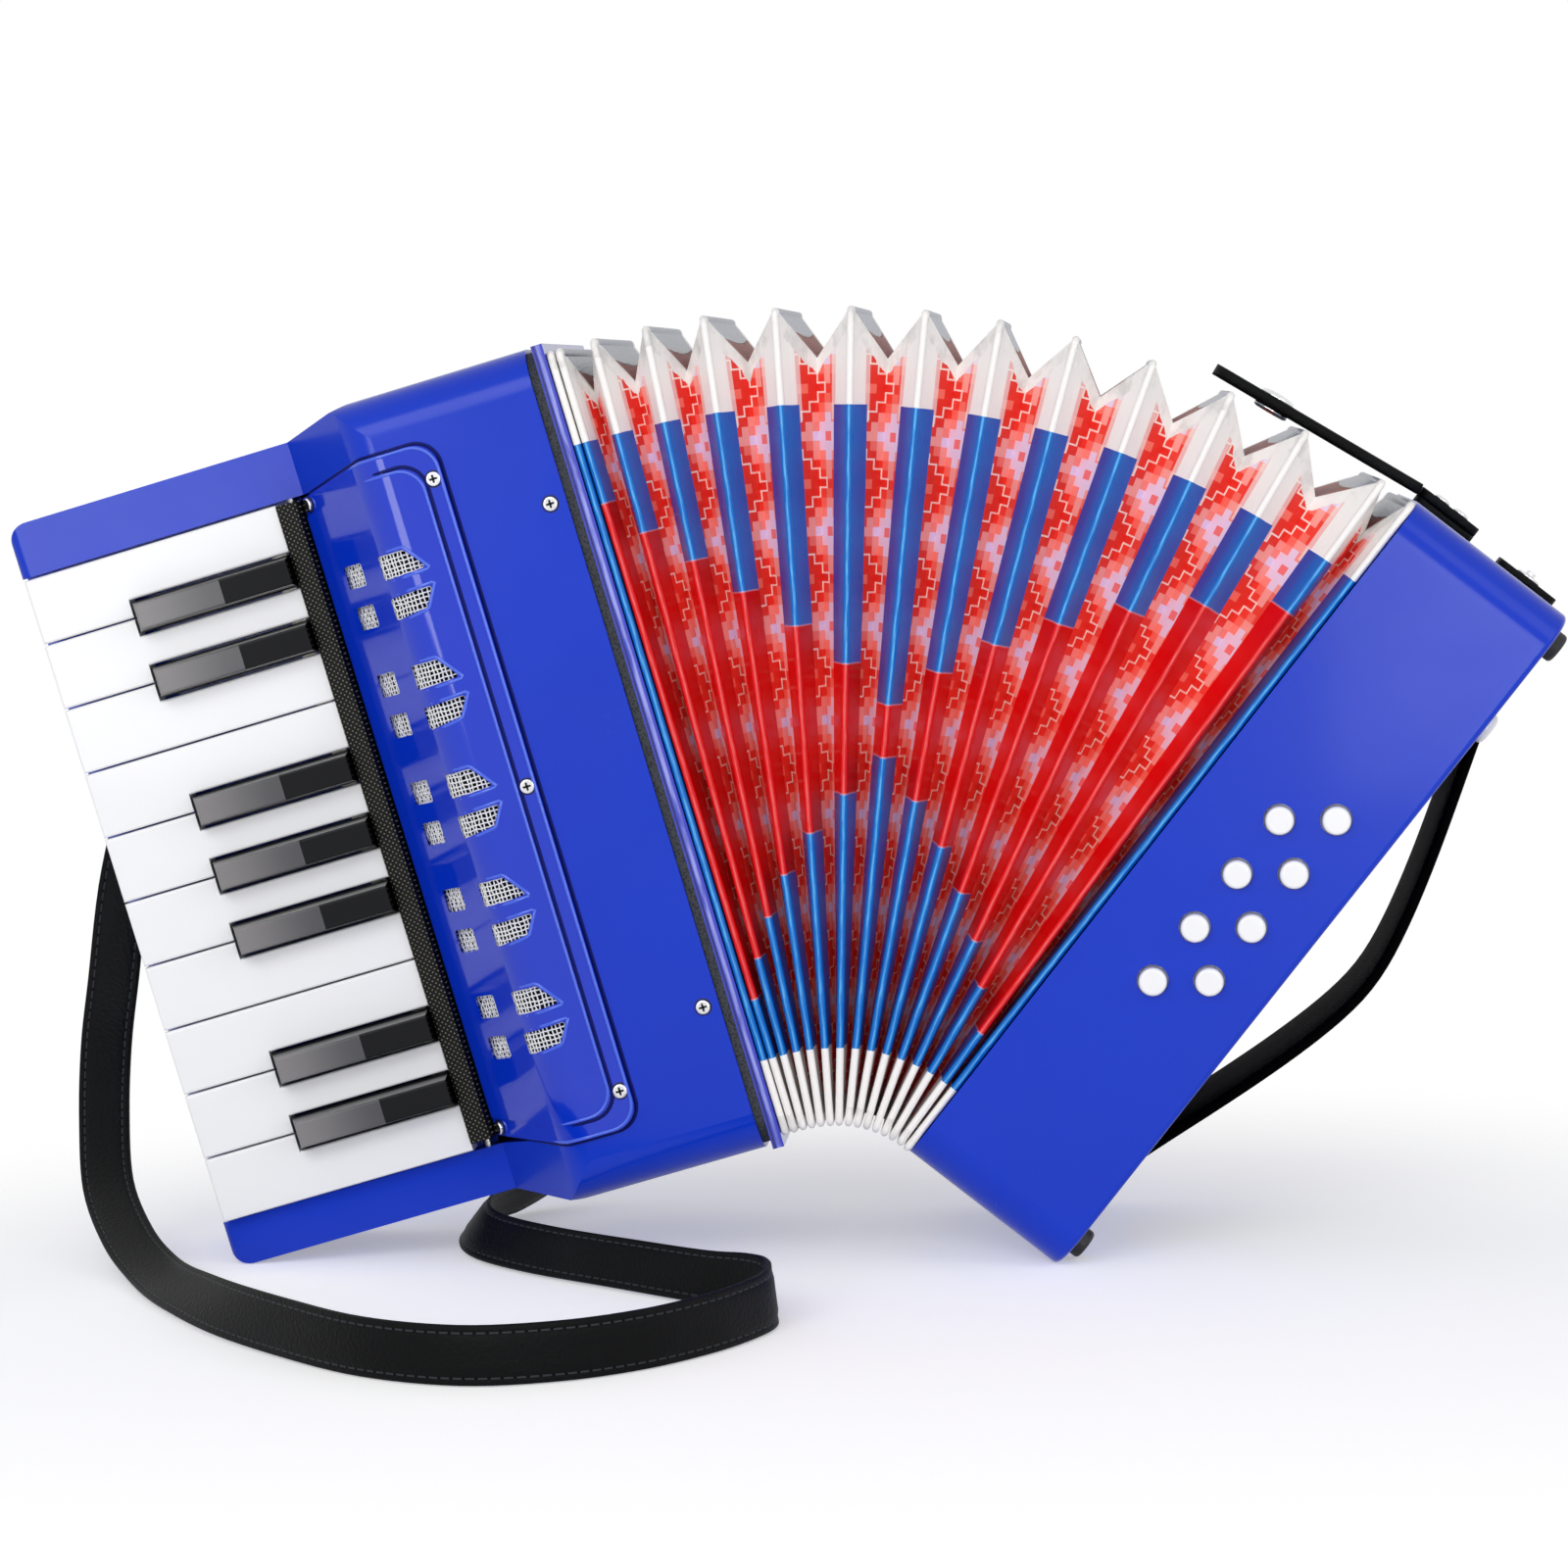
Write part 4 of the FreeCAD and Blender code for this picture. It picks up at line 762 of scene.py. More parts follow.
def band_soup(centres, sides, normals, width, thickness, groove=1.9, rim=0.78):
    """A padded band: thinner at the rims, with a sunk line where the stitches run."""
    half = width / 2
    left = [(-1.0, 0.0), (-0.985, 0.55), (-0.95, rim)]
    left += [(groove * share / half - 1, height) for share, height in (
        (0.72, rim * 0.98), (1.0, rim * 0.86), (1.28, rim * 1.04), (1.9, 1.0))]
    left.append((-0.2, 1.0))
    upper = left + [(-a, b) for a, b in reversed(left)]
    ring = np.array(upper + [(a, -b) for a, b in reversed(upper[1:-1])])
    centres, sides, normals = (np.asarray(v)[:, None] for v in (centres, sides, normals))
    a, b = ring[:, :1] * half, ring[:, 1:] * thickness / 2
    steps = np.linalg.norm(np.diff(centres[:, 0], axis=0), axis=1)
    length = np.concatenate([[0], np.cumsum(steps)])
    soup = Soup(("u", "w"))
    soup.add(centres + sides * a + normals * b, tube_faces(len(centres), len(ring)),
             u=np.repeat(length, len(ring)),
             w=np.tile(half - abs(a[:, 0]) - groove, len(centres)))
    return soup


def smooth_through(points, per=6):
    """A smooth curve through the points."""
    points = np.asarray(points, float)
    out = []
    n = len(points)
    for i in range(n - 1):
        p0 = points[max(i - 1, 0)]
        p1, p2 = points[i], points[i + 1]
        p3 = points[min(i + 2, n - 1)]
        for k in range(per):
            t = k / per
            out.append(0.5 * ((2 * p1) + (-p0 + p2) * t + (2 * p0 - 5 * p1 + 4 * p2 - p3) * t * t
                              + (-p0 + 3 * p1 - 3 * p2 + p3) * t ** 3))
    out.append(points[-1])
    return np.array(out)


STRAP_ROUTE = (
    (-1.240, 0.500, 2.060, -70), (-1.500, 0.480, 1.870, -58), (-1.760, 0.490, 1.580, -42),
    (-1.960, 0.510, 1.280, -29), (-2.040, 0.500, 1.040, -21), (-2.075, 0.420, 0.730, -4),
    (-2.085, 0.330, 0.540, 0), (-2.065, 0.180, 0.340, 10), (-2.015, -0.020, 0.165, 15),
    (-1.905, -0.280, 0.060, 20), (-1.785, -0.520, 0.010, 26), (-1.650, -0.800, 0.0, 38),
    (-1.440, -1.150, 0.0, 60), (-1.200, -1.440, 0.0, 78), (-0.950, -1.680, 0.0, 88),
    (-0.690, -1.800, 0.0, 90), (-0.460, -1.770, 0.0, 90), (-0.270, -1.660, 0.0, 91),
    (-0.120, -1.500, 0.0, 93), (-0.020, -1.340, 0.0, 97), (0.030, -1.190, 0.0, 98),
    (0.000, -1.040, 0.0, 90), (-0.100, -0.940, 0.0, 74), (-0.240, -0.840, 0.0, 62),
    (-0.460, -0.650, 0.0, 58), (-0.720, -0.420, 0.0, 57), (-0.890, -0.200, 0.0, 55),
    (-0.950, 0.040, 0.0, 52), (-0.930, 0.280, 0.0, 49), (-0.840, 0.490, 0.005, 45),
    (-0.720, 0.610, 0.070, 37), (-0.620, 0.620, 0.200, 26), (-0.545, 0.560, 0.320, 17))


STRAP_WIDTH = 15.0
STRAP_THICK = 2.4
BRACKET_X = -40.0
BRACKET_HALF = 12.0
BRACKET_TOP = 195.0
BRACKET_LOW = 30.0
BRACKET_FACE = 49.8


def make_shoulder_strap():
    width, thick = STRAP_WIDTH, STRAP_THICK
    half = width / 2
    y = BRACKET_FACE + thick / 2
    lows, highs = [], []
    for side in (1, -1):
        x = side * BRACKET_HALF + BRACKET_X
        lows.append(TREBLE.point((x, y, BRACKET_TOP + half)))
        highs.append(TREBLE.point((x, y, BRACKET_TOP - half)))
    shift = np.array([TREBLE_ORIGIN[0], TREBLE_ORIGIN[1], 0])
    for across, back, up, lean in STRAP_ROUTE:
        low = np.array([across, back, up]) * 100 + shift
        lows.append(low)
        a = math.radians(lean)
        highs.append(low + np.array([math.cos(a), 0, math.sin(a)]) * width)
    for side in (1, -1):
        z = BRACKET_LOW - side * BRACKET_HALF
        lows.append(TREBLE.point((BRACKET_X - half, y, z)))
        highs.append(TREBLE.point((BRACKET_X + half, y, z)))
    lows, highs = np.array(lows), np.array(highs)
    both = np.pad(lows + highs, ((1, 1), (0, 0)), mode="edge")
    side = unit(np.cross(both[2:] - both[:-2], highs - lows)) * thick / 2
    lift = np.stack([0 * side[:, 2], 0 * side[:, 2], abs(side[:, 2])], axis=1)
    low = smooth_through(lows + lift)
    high = smooth_through(highs + lift)
    centre = (low + high) / 2
    across = unit(high - low)
    normal = unit(np.cross(np.gradient(centre, axis=0), across))
    centre[:, 2] = np.maximum(centre[:, 2], thick / 2 * abs(normal[:, 2])
                              + half * abs(across[:, 2]) + 0.02)
    return band_soup(centre, across, normal, width, thick)


strap = face_out(make_shoulder_strap().build("shoulder_strap_leather"))
use(strap, strap_black)
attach(strap, "treble_end")
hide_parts("shoulder_strap")


HAND_TOP = BASS_HEIGHT - 37.3
HAND_LOW = 36.0
HAND_TAB = 12.0
HAND_BULGE = 20.0
HAND_WIDTH = 50.0
HAND_THICK = 3.0


def make_hand_strap():
    """Two straight runs that meet in a round middle, with a flat tab at each end."""
    middle = (HAND_TOP + HAND_LOW) / 2
    span = (HAND_TOP - HAND_LOW) / 2
    start = BASS_WIDTH + HAND_THICK / 2
    points = [(start, HAND_TOP + HAND_TAB), (start, HAND_TOP + HAND_TAB / 2), (start, HAND_TOP + 1)]
    for t in np.linspace(1, -1, 41):
        arc = abs(math.cos(t * math.pi / 2)) ** 1.1
        tent = 1 - math.sqrt(t * t + 0.03) / math.sqrt(1.03)
        tent /= 1 - math.sqrt(0.03 / 1.03)
        points.append((start + HAND_BULGE * (0.35 * arc + 0.65 * tent), middle + span * t))
    points += [(start, HAND_LOW - 1), (start, HAND_LOW - HAND_TAB / 2),
               (start, HAND_LOW - HAND_TAB)]
    centre = BASS.point(np.array([(x, 0.0, z) for x, z in points]))
    across = np.tile(BASS.ey, (len(points), 1))
    normal = unit(np.cross(np.gradient(centre, axis=0), across))
    return band_soup(centre, across, normal, HAND_WIDTH, HAND_THICK)


hand = face_out(make_hand_strap().build("hand_strap_leather"))
use(hand, hand_black)
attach(hand, "bass_end")
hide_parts("hand_strap")

# Top closure strap with a rounded end and a snap

CLOSURE_Z = BASS_HEIGHT + 2.4 + 1.3
CLOSURE = BASS.then((0, 0, CLOSURE_Z), -7.1)
CLOSURE_LENGTH = 64.0
CLOSURE_ROUND = 6.4
SNAP_X = -45.0
SNAP_LIFT = 1.3


def snap_profile(radius, height):
    return [(radius, 0.0), (radius, height * 0.35), (radius * 0.96, height * 0.6),
            (radius * 0.8, height * 0.85), (radius * 0.55, height), (radius * 0.42, height * 0.9),
            (radius * 0.3, height * 0.95), (0.0, height)]


def make_closure_strap():
    turn_x = CLOSURE_ROUND - CLOSURE_LENGTH
    xs = np.concatenate([np.linspace(1.0, turn_x, 24),
                         turn_x - 6.3 * np.sin(np.linspace(0.16, 1.5, 9))])
    over = np.maximum(0.0, turn_x - xs) / CLOSURE_ROUND
    narrow = np.maximum(np.sqrt(np.maximum(1 - over * over, 0)), 0.1)
    return band_soup(CLOSURE.point(np.array([(x, 0, 0) for x in xs])),
                     CLOSURE.ey * narrow[:, None], np.tile(CLOSURE.ez, (len(xs), 1)), 14.0, 3.2,
                     groove=1.5, rim=0.86)


closure = face_out(make_closure_strap().build("closure_strap_leather"))
use(closure, band_black)
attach(closure, "closure_strap_top")
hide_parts("closure_strap_top")

snaps = Soup()
lathe(snaps, CLOSURE, (SNAP_X, 0, SNAP_LIFT), (0, 0, 1.0), snap_profile(5.0, 1.6))
lathe(snaps, CLOSURE, (SNAP_X, 0, -SNAP_LIFT), (0, 0, -1.0),
      [(5.0, 0), (5.0, 1.2), (4.2, 1.6), (2.8, 1.6), (2.6, 0.6), (0.0, 0.6)])
snap = use(face_out(snaps.build("closure_snap")), chrome)
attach(snap, "closure_strap_top")

# Fittings on the bass end: rivets, the anchor plate and the parking stud

RIVET_RADIUS = 2.4
RIVET_HEIGHT = 1.0
STRAP_SHEET = 2.6
PLATE_SHEET = 2.4
ANCHOR = (1.6, 20.6)
PARK_TAB = (30.0, 49.0)


def rivet_profile():
    r, h = RIVET_RADIUS, RIVET_HEIGHT
    return [(r, 0), (r, 0.35 * h), (0.88 * r, 0.75 * h), (0.55 * r, h), (0.4 * r, 0.8 * h),
            (0.0, 0.75 * h)]


fittings = Soup()
for height in (HAND_TOP + HAND_TAB / 2, HAND_LOW - HAND_TAB / 2):
    for side in (-1, 1):
        lathe(fittings, BASS, (BASS_WIDTH + HAND_THICK, side * 9.0, height), (1.0, 0, 0),
              rivet_profile())
plates = Soup(("u", "w"))
PLATE_HALF = 7.0
PLATE_ROUND = 4.0


def plate(ends, low, high):
    """A leather plate with rounded ends between two heights."""
    x0, x1 = ends
    starts = PLATE_ROUND * (1 - np.sin(np.linspace(0, math.pi / 2, 7)[::-1]))
    xs = np.concatenate([x0 + starts, np.linspace(x0 + PLATE_ROUND, x1 - PLATE_ROUND, 8)[1:-1],
                         x1 - starts[::-1]])
    over = np.maximum(np.maximum(x0 - xs, xs - x1) + PLATE_ROUND, 0.0) / PLATE_ROUND
    cut = 1 - np.sqrt(np.maximum(1 - over * over, 0.0))
    narrow = 1 - PLATE_ROUND / PLATE_HALF * cut
    soup = band_soup(BASS.point(np.array([(x, 0, (low + high) / 2) for x in xs])),
                     BASS.ey * narrow[:, None], np.tile(BASS.ez, (len(xs), 1)), PLATE_HALF * 2,
                     high - low, groove=1.5, rim=0.9)
    plates.add(np.concatenate(soup.verts), soup.faces, u=np.concatenate(soup.values["u"]),
               w=np.concatenate(soup.values["w"]))


anchor_low = BASS_HEIGHT + PLATE_SHEET
anchor_top = anchor_low + STRAP_SHEET
park_top = BASS_HEIGHT + STRAP_SHEET
plate(ANCHOR, BASS_HEIGHT, anchor_low)
plate(ANCHOR, anchor_low, anchor_top)
plate(PARK_TAB, BASS_HEIGHT, park_top)
for share in (1, 2):
    spot = ANCHOR[0] + (ANCHOR[1] - ANCHOR[0]) * share / 3
    lathe(fittings, BASS, (spot, 0, anchor_top), (0, 0, 1.0), rivet_profile())
lathe(fittings, BASS, (sum(PARK_TAB) / 2, 0, park_top), (0, 0, 1.0),
      [(3.6, 0), (3.6, 0.4), (3.2, 0.75), (1.6, 0.8), (1.3, 1.2), (1.45, 1.6), (1.2, 2.0),
       (0.0, 2.0)])
rivets = use(face_out(fittings.build("bass_rivets")), chrome)
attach(rivets, "bass_end")
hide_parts("bass_fittings")
tabs = use(face_out(plates.build("bass_plates")), band_black)
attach(tabs, "bass_end")

# Bottom closure strap under the feet of the folds

LOW_STRAP_GAP = 0.35
LOW_STRAP_WIDTH = 16.0
LOW_STRAP_THICK = 2.2
STATIONS = 4


def low_strap_stations():
    """Middle line of the strap, with four stations from one fold to the next."""
    gap = LOW_STRAP_GAP
    upper = [TREBLE.point((-20.0, 0, -gap)), TREBLE.point((1.6, 0, -gap))]
    upper += [ridge.point((0, 0, -gap)) for ridge in RIDGES[1:-1]]
    upper += [BASS.point((0, 0, -gap)), BASS.point((16.0, 0, -gap))]
    line = smooth_through(upper, per=STATIONS)
    across = np.tile(TREBLE.ey, (len(line), 1))
    normal = np.cross(unit(np.gradient(line, axis=0)), across)
    down = np.where(normal[:, 2:3] > 0, -normal, normal)
    return line + down * LOW_STRAP_THICK / 2, across, down


low_line, low_across, low_down = low_strap_stations()
last = RIDGE_COUNT - 1
for index in range(last + 1):
    first = STATIONS * (index + 1) if index else 0
    final = STATIONS * (index + 2)
    cut = slice(first, final + 1)
    soup = band_soup(low_line[cut], low_across[cut], low_down[cut], LOW_STRAP_WIDTH,
                     LOW_STRAP_THICK)
    length = use(face_out(soup.build("closure_strap_low_%02d" % (index + 1))), band_black)
    if index == 0:
        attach(length, "treble_end")
        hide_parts("closure_strap_bottom")
    elif index == last:
        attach(length, "bass_end")
    else:
        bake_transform(length)


# Grille cover: beads on its rim, round its raised field and round its windows, coloured lighter as a
# painted highlight, and dark strips of painted shade beside the rim and the field edge

FRONT_Y = -49.5
BODY_LEFT = -54.6
DECK_RIGHT = -76.6
DECK_FRONT = -21.0
RIDGE_RADIUS = 10.0
COVER_RIGHT = -33.7
COVER_LOW = 17.0
COVER_TOP = 209.0
COVER_CORNER = 7.0
COVER_TAPER = 4.6
COVER_SETBACK = 3.0
COVER_LIFT = 2.2
FIELD_LIFT = 2.9
FIELD_INSET = 5.1
SLOPE = unit(np.array([BODY_LEFT - DECK_RIGHT, FRONT_Y - DECK_FRONT]))
SLOPE_OUT = np.array([SLOPE[1], -SLOPE[0]])
SLOPE_TURN = math.atan2(-SLOPE_OUT[0], -SLOPE_OUT[1])
COVER_MIDDLE = (COVER_LOW + COVER_TOP) / 2
GROUP_MIDDLES = [COVER_MIDDLE + (group - 2) * 30.6 for group in range(5)]


def cover_surface(x, lift):
    """Depth and outward normal of the cover's skin, at a place across it."""
    radius = RIDGE_RADIUS + lift
    reach = radius * math.tan(SLOPE_TURN / 2)
    bend_x = BODY_LEFT + lift * math.tan(SLOPE_TURN / 2)
    bend_y = FRONT_Y - lift
    centre = (bend_x + reach, bend_y + radius)
    slope_start = bend_x - SLOPE[0] * reach
    if x >= centre[0]:
        return bend_y, (0.0, -1.0)
    if x > slope_start:
        dx = x - centre[0]
        dy = -math.sqrt(radius * radius - dx * dx)
        return centre[1] + dy, (dx / radius, dy / radius)
    start_y = bend_y - SLOPE[1] * reach
    return start_y - (slope_start - x) * SLOPE[1] / SLOPE[0], tuple(SLOPE_OUT)


def cover_loop(inset, lift):
    """Places (x, z) along the open outline of the cover, from the foot of its slope and back."""
    left = DECK_RIGHT + SLOPE[0] * COVER_SETBACK + SLOPE_OUT[0] * lift + 0.2

    def taper(x):
        return COVER_TAPER * max(0.0, BODY_LEFT - x) / (BODY_LEFT - DECK_RIGHT)

    right = COVER_RIGHT - inset
    corner = COVER_CORNER
    upper = [(x, COVER_TOP - inset - taper(x)) for x in np.linspace(left, right - corner, 40)]
    for k in range(1, 9):
        a = math.radians(90 - 90 * k / 8)
        upper.append((right - corner + corner * math.cos(a),
                      COVER_TOP - inset - corner + corner * math.sin(a)))
    lower = [(x, COVER_LOW + COVER_TOP - z) for x, z in reversed(upper)]
    middle = [(right, z) for z in np.linspace(upper[-1][1], lower[0][1], 12)[1:-1]]
    return upper + middle + lower


def bead(soup, places, lift, half_width, height, closed=False, sides=8, rise=0.0, sway=0.0):
    """A rounded cord along places (x, z) of the cover's skin; rise lifts it, sway shifts it."""
    skin = [cover_surface(x, lift) for x, _ in places]
    points = np.array([(x, y, z) for (x, z), (y, _) in zip(places, skin)])
    outs = np.array([(out[0], out[1], 0.0) for _, out in skin])
    points = points + outs * rise + sway
    if closed:
        along = np.roll(points, -1, axis=0) - np.roll(points, 1, axis=0)
    else:
        along = np.gradient(points, axis=0)
    across = unit(np.cross(outs, along))
    turns = 2 * math.pi * np.arange(sides)[:, None] / sides
    verts = (points[:, None] + across[:, None] * half_width * np.cos(turns)
             + outs[:, None] * height * np.sin(turns))
    soup.add(TREBLE.point(verts), tube_faces(len(points), sides, closed))


def window_outlines(middle):
    """The four openings of one group as corner places (x, z)."""
    group_height, leaf_width, leaf_height = 18.0, 13.0, 6.8
    small_width, small_height, bar = 6.0, 6.4, 4.3
    top, low = middle + group_height / 2, middle - group_height / 2
    leaf_left = BODY_LEFT - small_width / 2
    small_left = leaf_left - bar - 1.3 * small_width
    small_right = small_left + small_width
    return [
        [(leaf_left, top), (leaf_left, top - leaf_height),
         (leaf_left + leaf_width, top - 0.9 * leaf_height), (leaf_left + 0.6 * leaf_width, top)],
        [(leaf_left, low), (leaf_left + 0.75 * leaf_width, low + 0.2 * leaf_height),
         (leaf_left + leaf_width, low + leaf_height), (leaf_left, low + 0.9 * leaf_height)],
        [(small_left, top), (small_left, top - small_height),
         (small_right, top - small_height), (small_right, top)],
        [(small_left, low), (small_right, low), (small_right, low + small_height),
         (small_left, low + small_height)]]


def widened(corners, margin):
    """Corner places moved out from their middle, with short runs between them."""
    corners = np.array(corners)
    middle = corners.mean(axis=0)
    size = (corners.max(axis=0) - corners.min(axis=0)) / 2
    corners = middle + (corners - middle) * (1 + margin / size)
    places = []
    for k in range(len(corners)):
        a, b = corners[k], corners[(k + 1) % len(corners)]
        for t in (0.06, 0.25, 0.5, 0.75, 0.94):
            places.append(tuple(a + (b - a) * t))
    return places


beads = Soup()
shade_strips = Soup()
# The beads are real relief; their lighter colour is a painted highlight
bead(beads, cover_loop(0.5, COVER_LIFT), COVER_LIFT, 0.5, 0.4)
bead(beads, cover_loop(FIELD_INSET + 0.45, FIELD_LIFT), FIELD_LIFT, 0.45, 0.3)
# Dark strips outside the rim and outside the field edge: painted shade where the steps are
bead(shade_strips, cover_loop(-0.45, 0.0), 0.0, 0.5, 0.12)
bead(shade_strips, cover_loop(FIELD_INSET - 0.55, COVER_LIFT), COVER_LIFT, 0.5, 0.12)
for middle in GROUP_MIDDLES:
    for corners in window_outlines(middle):
        bead(beads, widened(corners, 0.75), FIELD_LIFT, 0.5, 0.35, closed=True)
rims = use(face_out(beads.build("cover_beads")), cover_edge_highlight)
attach(rims, "treble_end")
dark = use(face_out(shade_strips.build("cover_shade_strips")), cover_groove_shade)
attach(dark, "treble_end")

# Perforated strip behind the keys: a low padded band that meets the foot of the cover

STRIP_LEFT = -83.95
STRIP_FRONT = -28.4
KEY_BED = -20.6


def make_strip():
    foot_y, _ = cover_surface(DECK_RIGHT + 0.2, COVER_LIFT)
    outline = [(STRIP_LEFT, KEY_BED), (STRIP_LEFT, STRIP_FRONT + 1.1),
               (STRIP_LEFT + 0.3, STRIP_FRONT + 0.35), (STRIP_LEFT + 1.0, STRIP_FRONT),
               (-81.0, STRIP_FRONT - 0.15), (-78.8, STRIP_FRONT), (-78.1, STRIP_FRONT + 0.3),
               (-77.8, STRIP_FRONT + 1.0), (DECK_RIGHT, foot_y + 0.5), (DECK_RIGHT, KEY_BED)]
    return bar_mesh([[(x, y, z) for x, y in outline]
                     for z in np.linspace(COVER_LOW + COVER_TAPER, COVER_TOP - COVER_TAPER, 40)])


strip = use(face_out(make_strip().build("key_strip_band", smooth=False)), strip_paint)
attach(strip, "treble_end")
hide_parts("key_strip")

# Leaf springs below the keys: a foot strip on the bed and a finger under each key

KEY_PITCH = 18.6
KEY_UNDER = -18.0
KEYS_LOW = 19.1
KEYS_TOP = KEYS_LOW + 10 * KEY_PITCH
SPRING_ROOT = -91.55
SPRING_TIP = -109.6
SPRING_FOOT_RIGHT = -87.5
SPRING_BED = -12.65
SPRING_SHEET = 0.5
SPRING_WIDTH = 4.0
SPRING_GAP = 0.3
BLACK_AFTER = (1, 2, 4, 5, 6, 8, 9)
BLACK_SLOT_HALF = 5.1


def key_middles():
    """The name and the middle of each key, the white keys first."""
    middles = []
    for number in range(1, 11):
        low = KEYS_TOP - number * KEY_PITCH
        high = low + KEY_PITCH
        if number in BLACK_AFTER:
            low += BLACK_SLOT_HALF
        if number - 1 in BLACK_AFTER:
            high -= BLACK_SLOT_HALF
        middles.append(("white_key_%02d" % number, (low + high) / 2))
    for index, number in enumerate(BLACK_AFTER):
        middles.append(("black_key_%d" % (index + 1), KEYS_TOP - number * KEY_PITCH))
    return middles


def spring_ring(corners):
    """Four corners of a sheet: two places on its far face, then two on its near face."""
    return list(corners) + [(x, y - SPRING_SHEET, z) for x, y, z in reversed(corners)]


def make_spring(middle):
    tip = KEY_UNDER + SPRING_GAP + SPRING_SHEET
    rings = []
    for t in np.linspace(0, 1, 13):
        x = SPRING_ROOT + (SPRING_TIP - SPRING_ROOT) * t
        y = SPRING_BED + (tip - SPRING_BED) * t
        rings.append(spring_ring([(x, y, middle - SPRING_WIDTH / 2),
                                  (x, y, middle + SPRING_WIDTH / 2)]))
    return bar_mesh(rings)


foot_rings = [spring_ring([(SPRING_ROOT, SPRING_BED, z), (SPRING_FOOT_RIGHT, SPRING_BED, z)])
              for z in np.linspace(KEYS_LOW, KEYS_TOP, 3)]
spring_foot = use(face_out(bar_mesh(foot_rings).build("key_spring_foot", smooth=False)),
                  spring_steel)
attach(spring_foot, "treble_end")
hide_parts("key_springs")
for index, (key, middle) in enumerate(key_middles()):
    finger = use(face_out(make_spring(middle).build("key_spring_%02d" % (index + 1), smooth=False)),
                 spring_steel)
    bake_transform(finger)

# Woven net in the windows: warp and weft threads that pass over and under each other


def make_net():
    pitch, radius, lift, wave = 1.25, 0.21, 1.5, 0.16
    # The wobble of the threads starts one draw for each gap of the bellows further on
    rng.random(RIDGE_COUNT - 1)
    arcs = [-72.0]
    while arcs[-1] < -41.0:
        _, normal = cover_surface(arcs[-1], lift)
        arcs.append(arcs[-1] + pitch * max(-normal[1], 0.55))
    columns = np.array(arcs)
    net = Soup()

    def thread(places, start, sway):
        """A thread that goes over and under in turn."""
        over = (-1.0) ** (start + np.arange(len(places)))
        bead(net, places, lift, radius, radius, sides=5, rise=(over * wave)[:, None], sway=sway)

    for middle in GROUP_MIDDLES:
        rows = middle + pitch * (np.arange(17) - 8)
        for i, x in enumerate(columns):
            bent = x + rng.normal(0, 0.1, len(rows))
            thread(list(zip(bent, rows)), i, np.array([rng.normal(0, 0.08), 0, 0]))
        for j, z in enumerate(rows):
            bent = z + rng.normal(0, 0.1, len(columns))
            thread(list(zip(columns, bent)), j + 1, np.array([0, 0, rng.normal(0, 0.08)]))
    return net


net = use(face_out(make_net().build("grille_net")), thread_white)
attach(net, "treble_end")

# Screws: a dark cross in each head and a dark line round it, both painted shade: the cross for the
# recess, the line for the contact shadow

CROSS = ((-1.25, 0.0), (-0.9, -0.3), (0.9, -0.3), (1.25, 0.0), (0.9, 0.3), (-0.9, 0.3))

def screw_places():
    """Foot of each head and the way it faces."""
    forward = np.array([0, -1.0, 0])
    column = COVER_RIGHT - FIELD_INSET / 2
    face = FRONT_Y - COVER_LIFT
    places = [((column, face, z), forward) for z in (COVER_TOP - 2 * FIELD_INSET, COVER_MIDDLE,
                                                     COVER_LOW + 2 * FIELD_INSET)]
    foot = (np.array([DECK_RIGHT, DECK_FRONT]) + SLOPE * (COVER_SETBACK + FIELD_INSET / 2)
            + SLOPE_OUT * COVER_LIFT)
    for z in (COVER_LOW + COVER_TAPER + 2.0, COVER_TOP - COVER_TAPER - 2.0):
        places.append(((foot[0], foot[1], z), np.array([SLOPE_OUT[0], SLOPE_OUT[1], 0])))
    for z in (COVER_LOW + 5 * FIELD_INSET, COVER_TOP - 5 * FIELD_INSET):
        places.append(((-8.4, FRONT_Y, z), forward))
    return places


shade_marks = Soup()
for point, facing in screw_places():
    point = np.array(point)
    # A dark disc under each head: its rim shows as a painted contact shadow round the head
    lathe(shade_marks, TREBLE, point, facing, [(2.35, 0.0), (2.35, 0.06), (2.0, 0.12), (0.0, 0.12)])
    up = np.array([0, 0, 1.0])
    side = np.cross(facing, up)
    top = point + facing * 0.9
    # A dark cross on each head: painted shade for the recess
    for a, b in ((side, up), (up, side)):
        ring = np.array([top + a * along + b * across for along, across in CROSS])
        shade_marks.add(TREBLE.point(np.concatenate([ring - facing * 0.3, ring + facing * 0.03])),
                    tube_faces(2, len(CROSS)))
cross = use(face_out(shade_marks.build("screw_shade_marks", smooth=False)), screw_shade)
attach(cross, "treble_end")


# Studio

def floor_finish():
    """White floor that runs out softly into the white backdrop away from the object."""
    p = Paint("floor_white")
    shade = (0.96, 0.96, 0.96, 1.0)
    p.surface(p.mix(p.noise(3.0) * 0.04, shade, darker(shade, 0.96)), 0.9, specular=0.0)
    lit = Value(p, p.out.inputs["Surface"].links[0].from_socket)
    ground = Place((0, 0, 0), 0)
    reach = p.math("SQRT", p.along(ground, "ex") ** 2.0 + (p.along(ground, "ey") + 60.0) ** 2.0)
    seen = p.node("LightPath")
    shown = p.either(Value(p, seen.outputs["Is Camera Ray"]), Value(p, seen.outputs["Is Glossy Ray"]))
    glow = p.get(0, "Emission", {"Strength": shown * 0.34})
    both = p.get(0, "AddShader", {0: lit, 1: glow})
    clear = p.get(0, "BsdfTransparent")
    return p.show(p.get(0, "MixShader", {0: p.soft(reach, 180.0, 420.0), 1: both, 2: clear}))


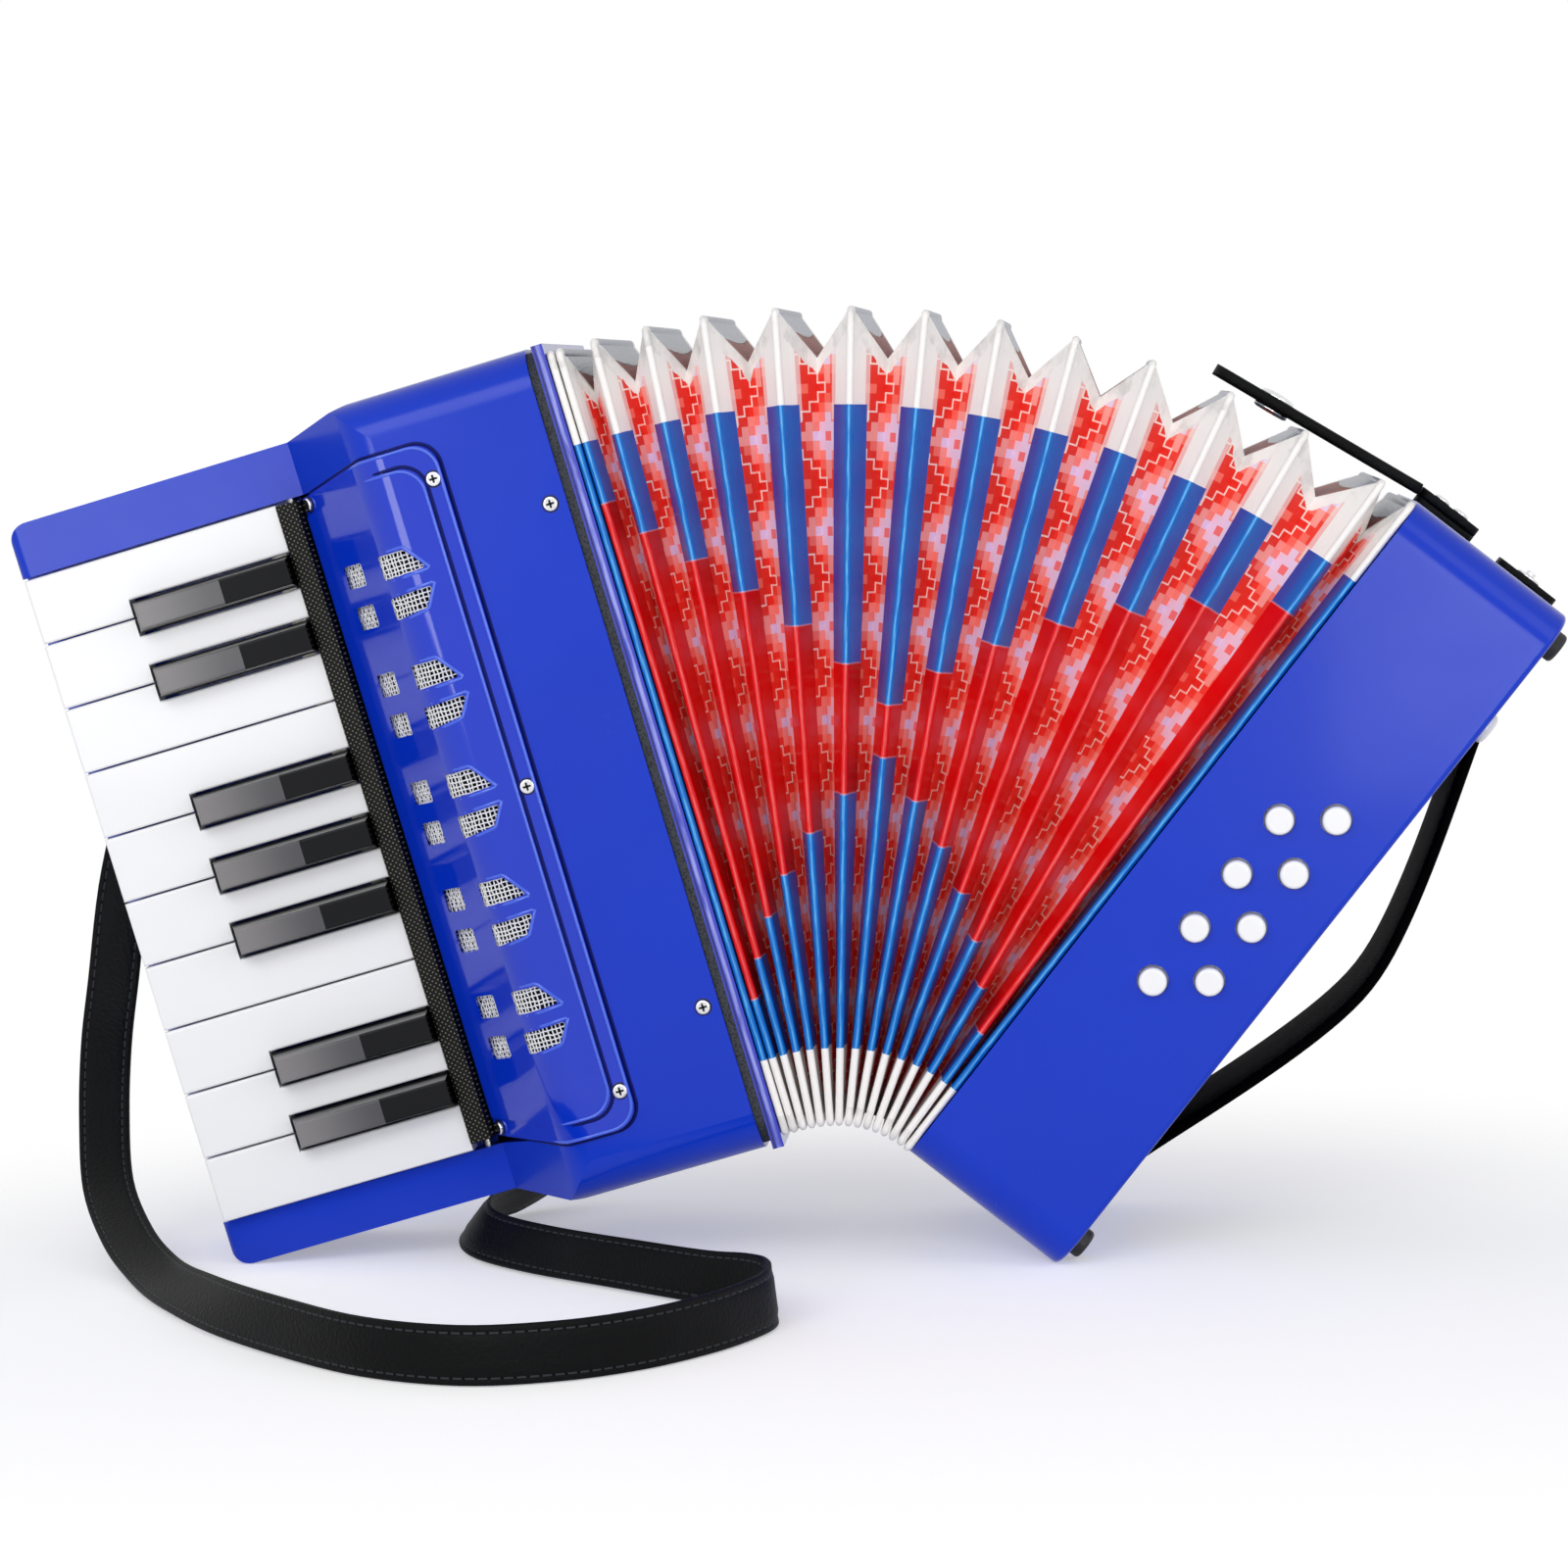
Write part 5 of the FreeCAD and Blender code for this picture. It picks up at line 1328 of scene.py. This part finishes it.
FLOOR_HALF = 3000.0
corners = [(-1, -1, 0), (1, -1, 0), (1, 1, 0), (-1, 1, 0)]
floor = make_object("floor", np.array(corners) * FLOOR_HALF, [(0, 1, 2, 3)], smooth=False)
floor.location.z = -0.0002
floor.data.materials.append(floor_finish())


def studio_world():
    """White background; the soft light is stronger from the sides than from above."""
    world = bpy.data.worlds.new("studio")
    bpy.context.scene.world = world
    p = Paint("studio", world)
    white = p.get(0, "Background", {"Color": (1, 1, 1, 1), "Strength": 1.0})
    up = p.get("Z", "SeparateXYZ", {0: p.get("Generated", "TexCoord")})
    fall = p.get("Result", "MapRange", {"Value": up, "To Min": 0.58, "To Max": 0.32})
    soft = p.get(0, "Background", {"Color": (0.97, 0.98, 1.0, 1), "Strength": fall})
    path = p.node("LightPath")
    seen = Value(p, path.outputs["Is Camera Ray"])
    for kind in ("Is Glossy Ray", "Is Transmission Ray"):
        seen = p.either(seen, Value(p, path.outputs[kind]))
    p.show(p.get(0, "MixShader", {0: seen, 1: soft, 2: white}))


studio_world()


def area(name, place, target, width, height, power):
    data = bpy.data.lights.new(name, "AREA")
    data.shape = "RECTANGLE"
    data.size = width
    data.size_y = height
    data.energy = power
    lamp = bpy.data.objects.new(name, data)
    bpy.context.scene.collection.objects.link(lamp)
    lamp.location = place
    aim = Vector(target) - Vector(place)
    lamp.rotation_euler = aim.to_track_quat("-Z", "Y").to_euler()
    return lamp


area("key_light", (-0.35, -1.35, 0.86), (0, 0, 0.08), 1.3, 0.7, 8.3)
area("right_box", (0.39, -1.3, 0.2), (0.2, 0, 0.15), 0.36, 0.4, 2.1)
area("fill_light", (1.2, -0.8, 0.7), (0, 0, 0.12), 0.9, 0.9, 3.0)
area("left_box", (-0.54, -1.3, 0.22), (-0.1, 0, 0.08), 0.35, 0.4, 2.0)


# Camera fitted to the picture: place, aim and lens

CAMERA = dict(focal=4606.5, place=(91.0, -1189.1, 239.5), yaw=-4.236, pitch=5.075, roll=-1.864)


def make_camera():
    yaw, pitch, roll = (math.radians(CAMERA[k]) for k in ("yaw", "pitch", "roll"))
    ahead = Vector((math.sin(yaw) * math.cos(pitch), math.cos(yaw) * math.cos(pitch),
                    -math.sin(pitch)))
    right = Vector((math.cos(yaw), -math.sin(yaw), 0))
    up = right.cross(ahead)
    right2 = right * math.cos(roll) + up * math.sin(roll)
    up2 = up * math.cos(roll) - right * math.sin(roll)
    data = bpy.data.cameras.new("camera")
    data.sensor_width = 36.0
    data.lens = CAMERA["focal"] / 1600 * 36.0
    data.clip_start = 0.05
    data.clip_end = 50
    camera = bpy.data.objects.new("camera", data)
    turn = Matrix((right2, up2, -ahead)).transposed().to_4x4()
    camera.matrix_world = Matrix.Translation(Vector(CAMERA["place"]) * MM) @ turn
    bpy.context.scene.collection.objects.link(camera)
    bpy.context.scene.camera = camera


make_camera()
bpy.context.scene.view_settings.view_transform = "Standard"
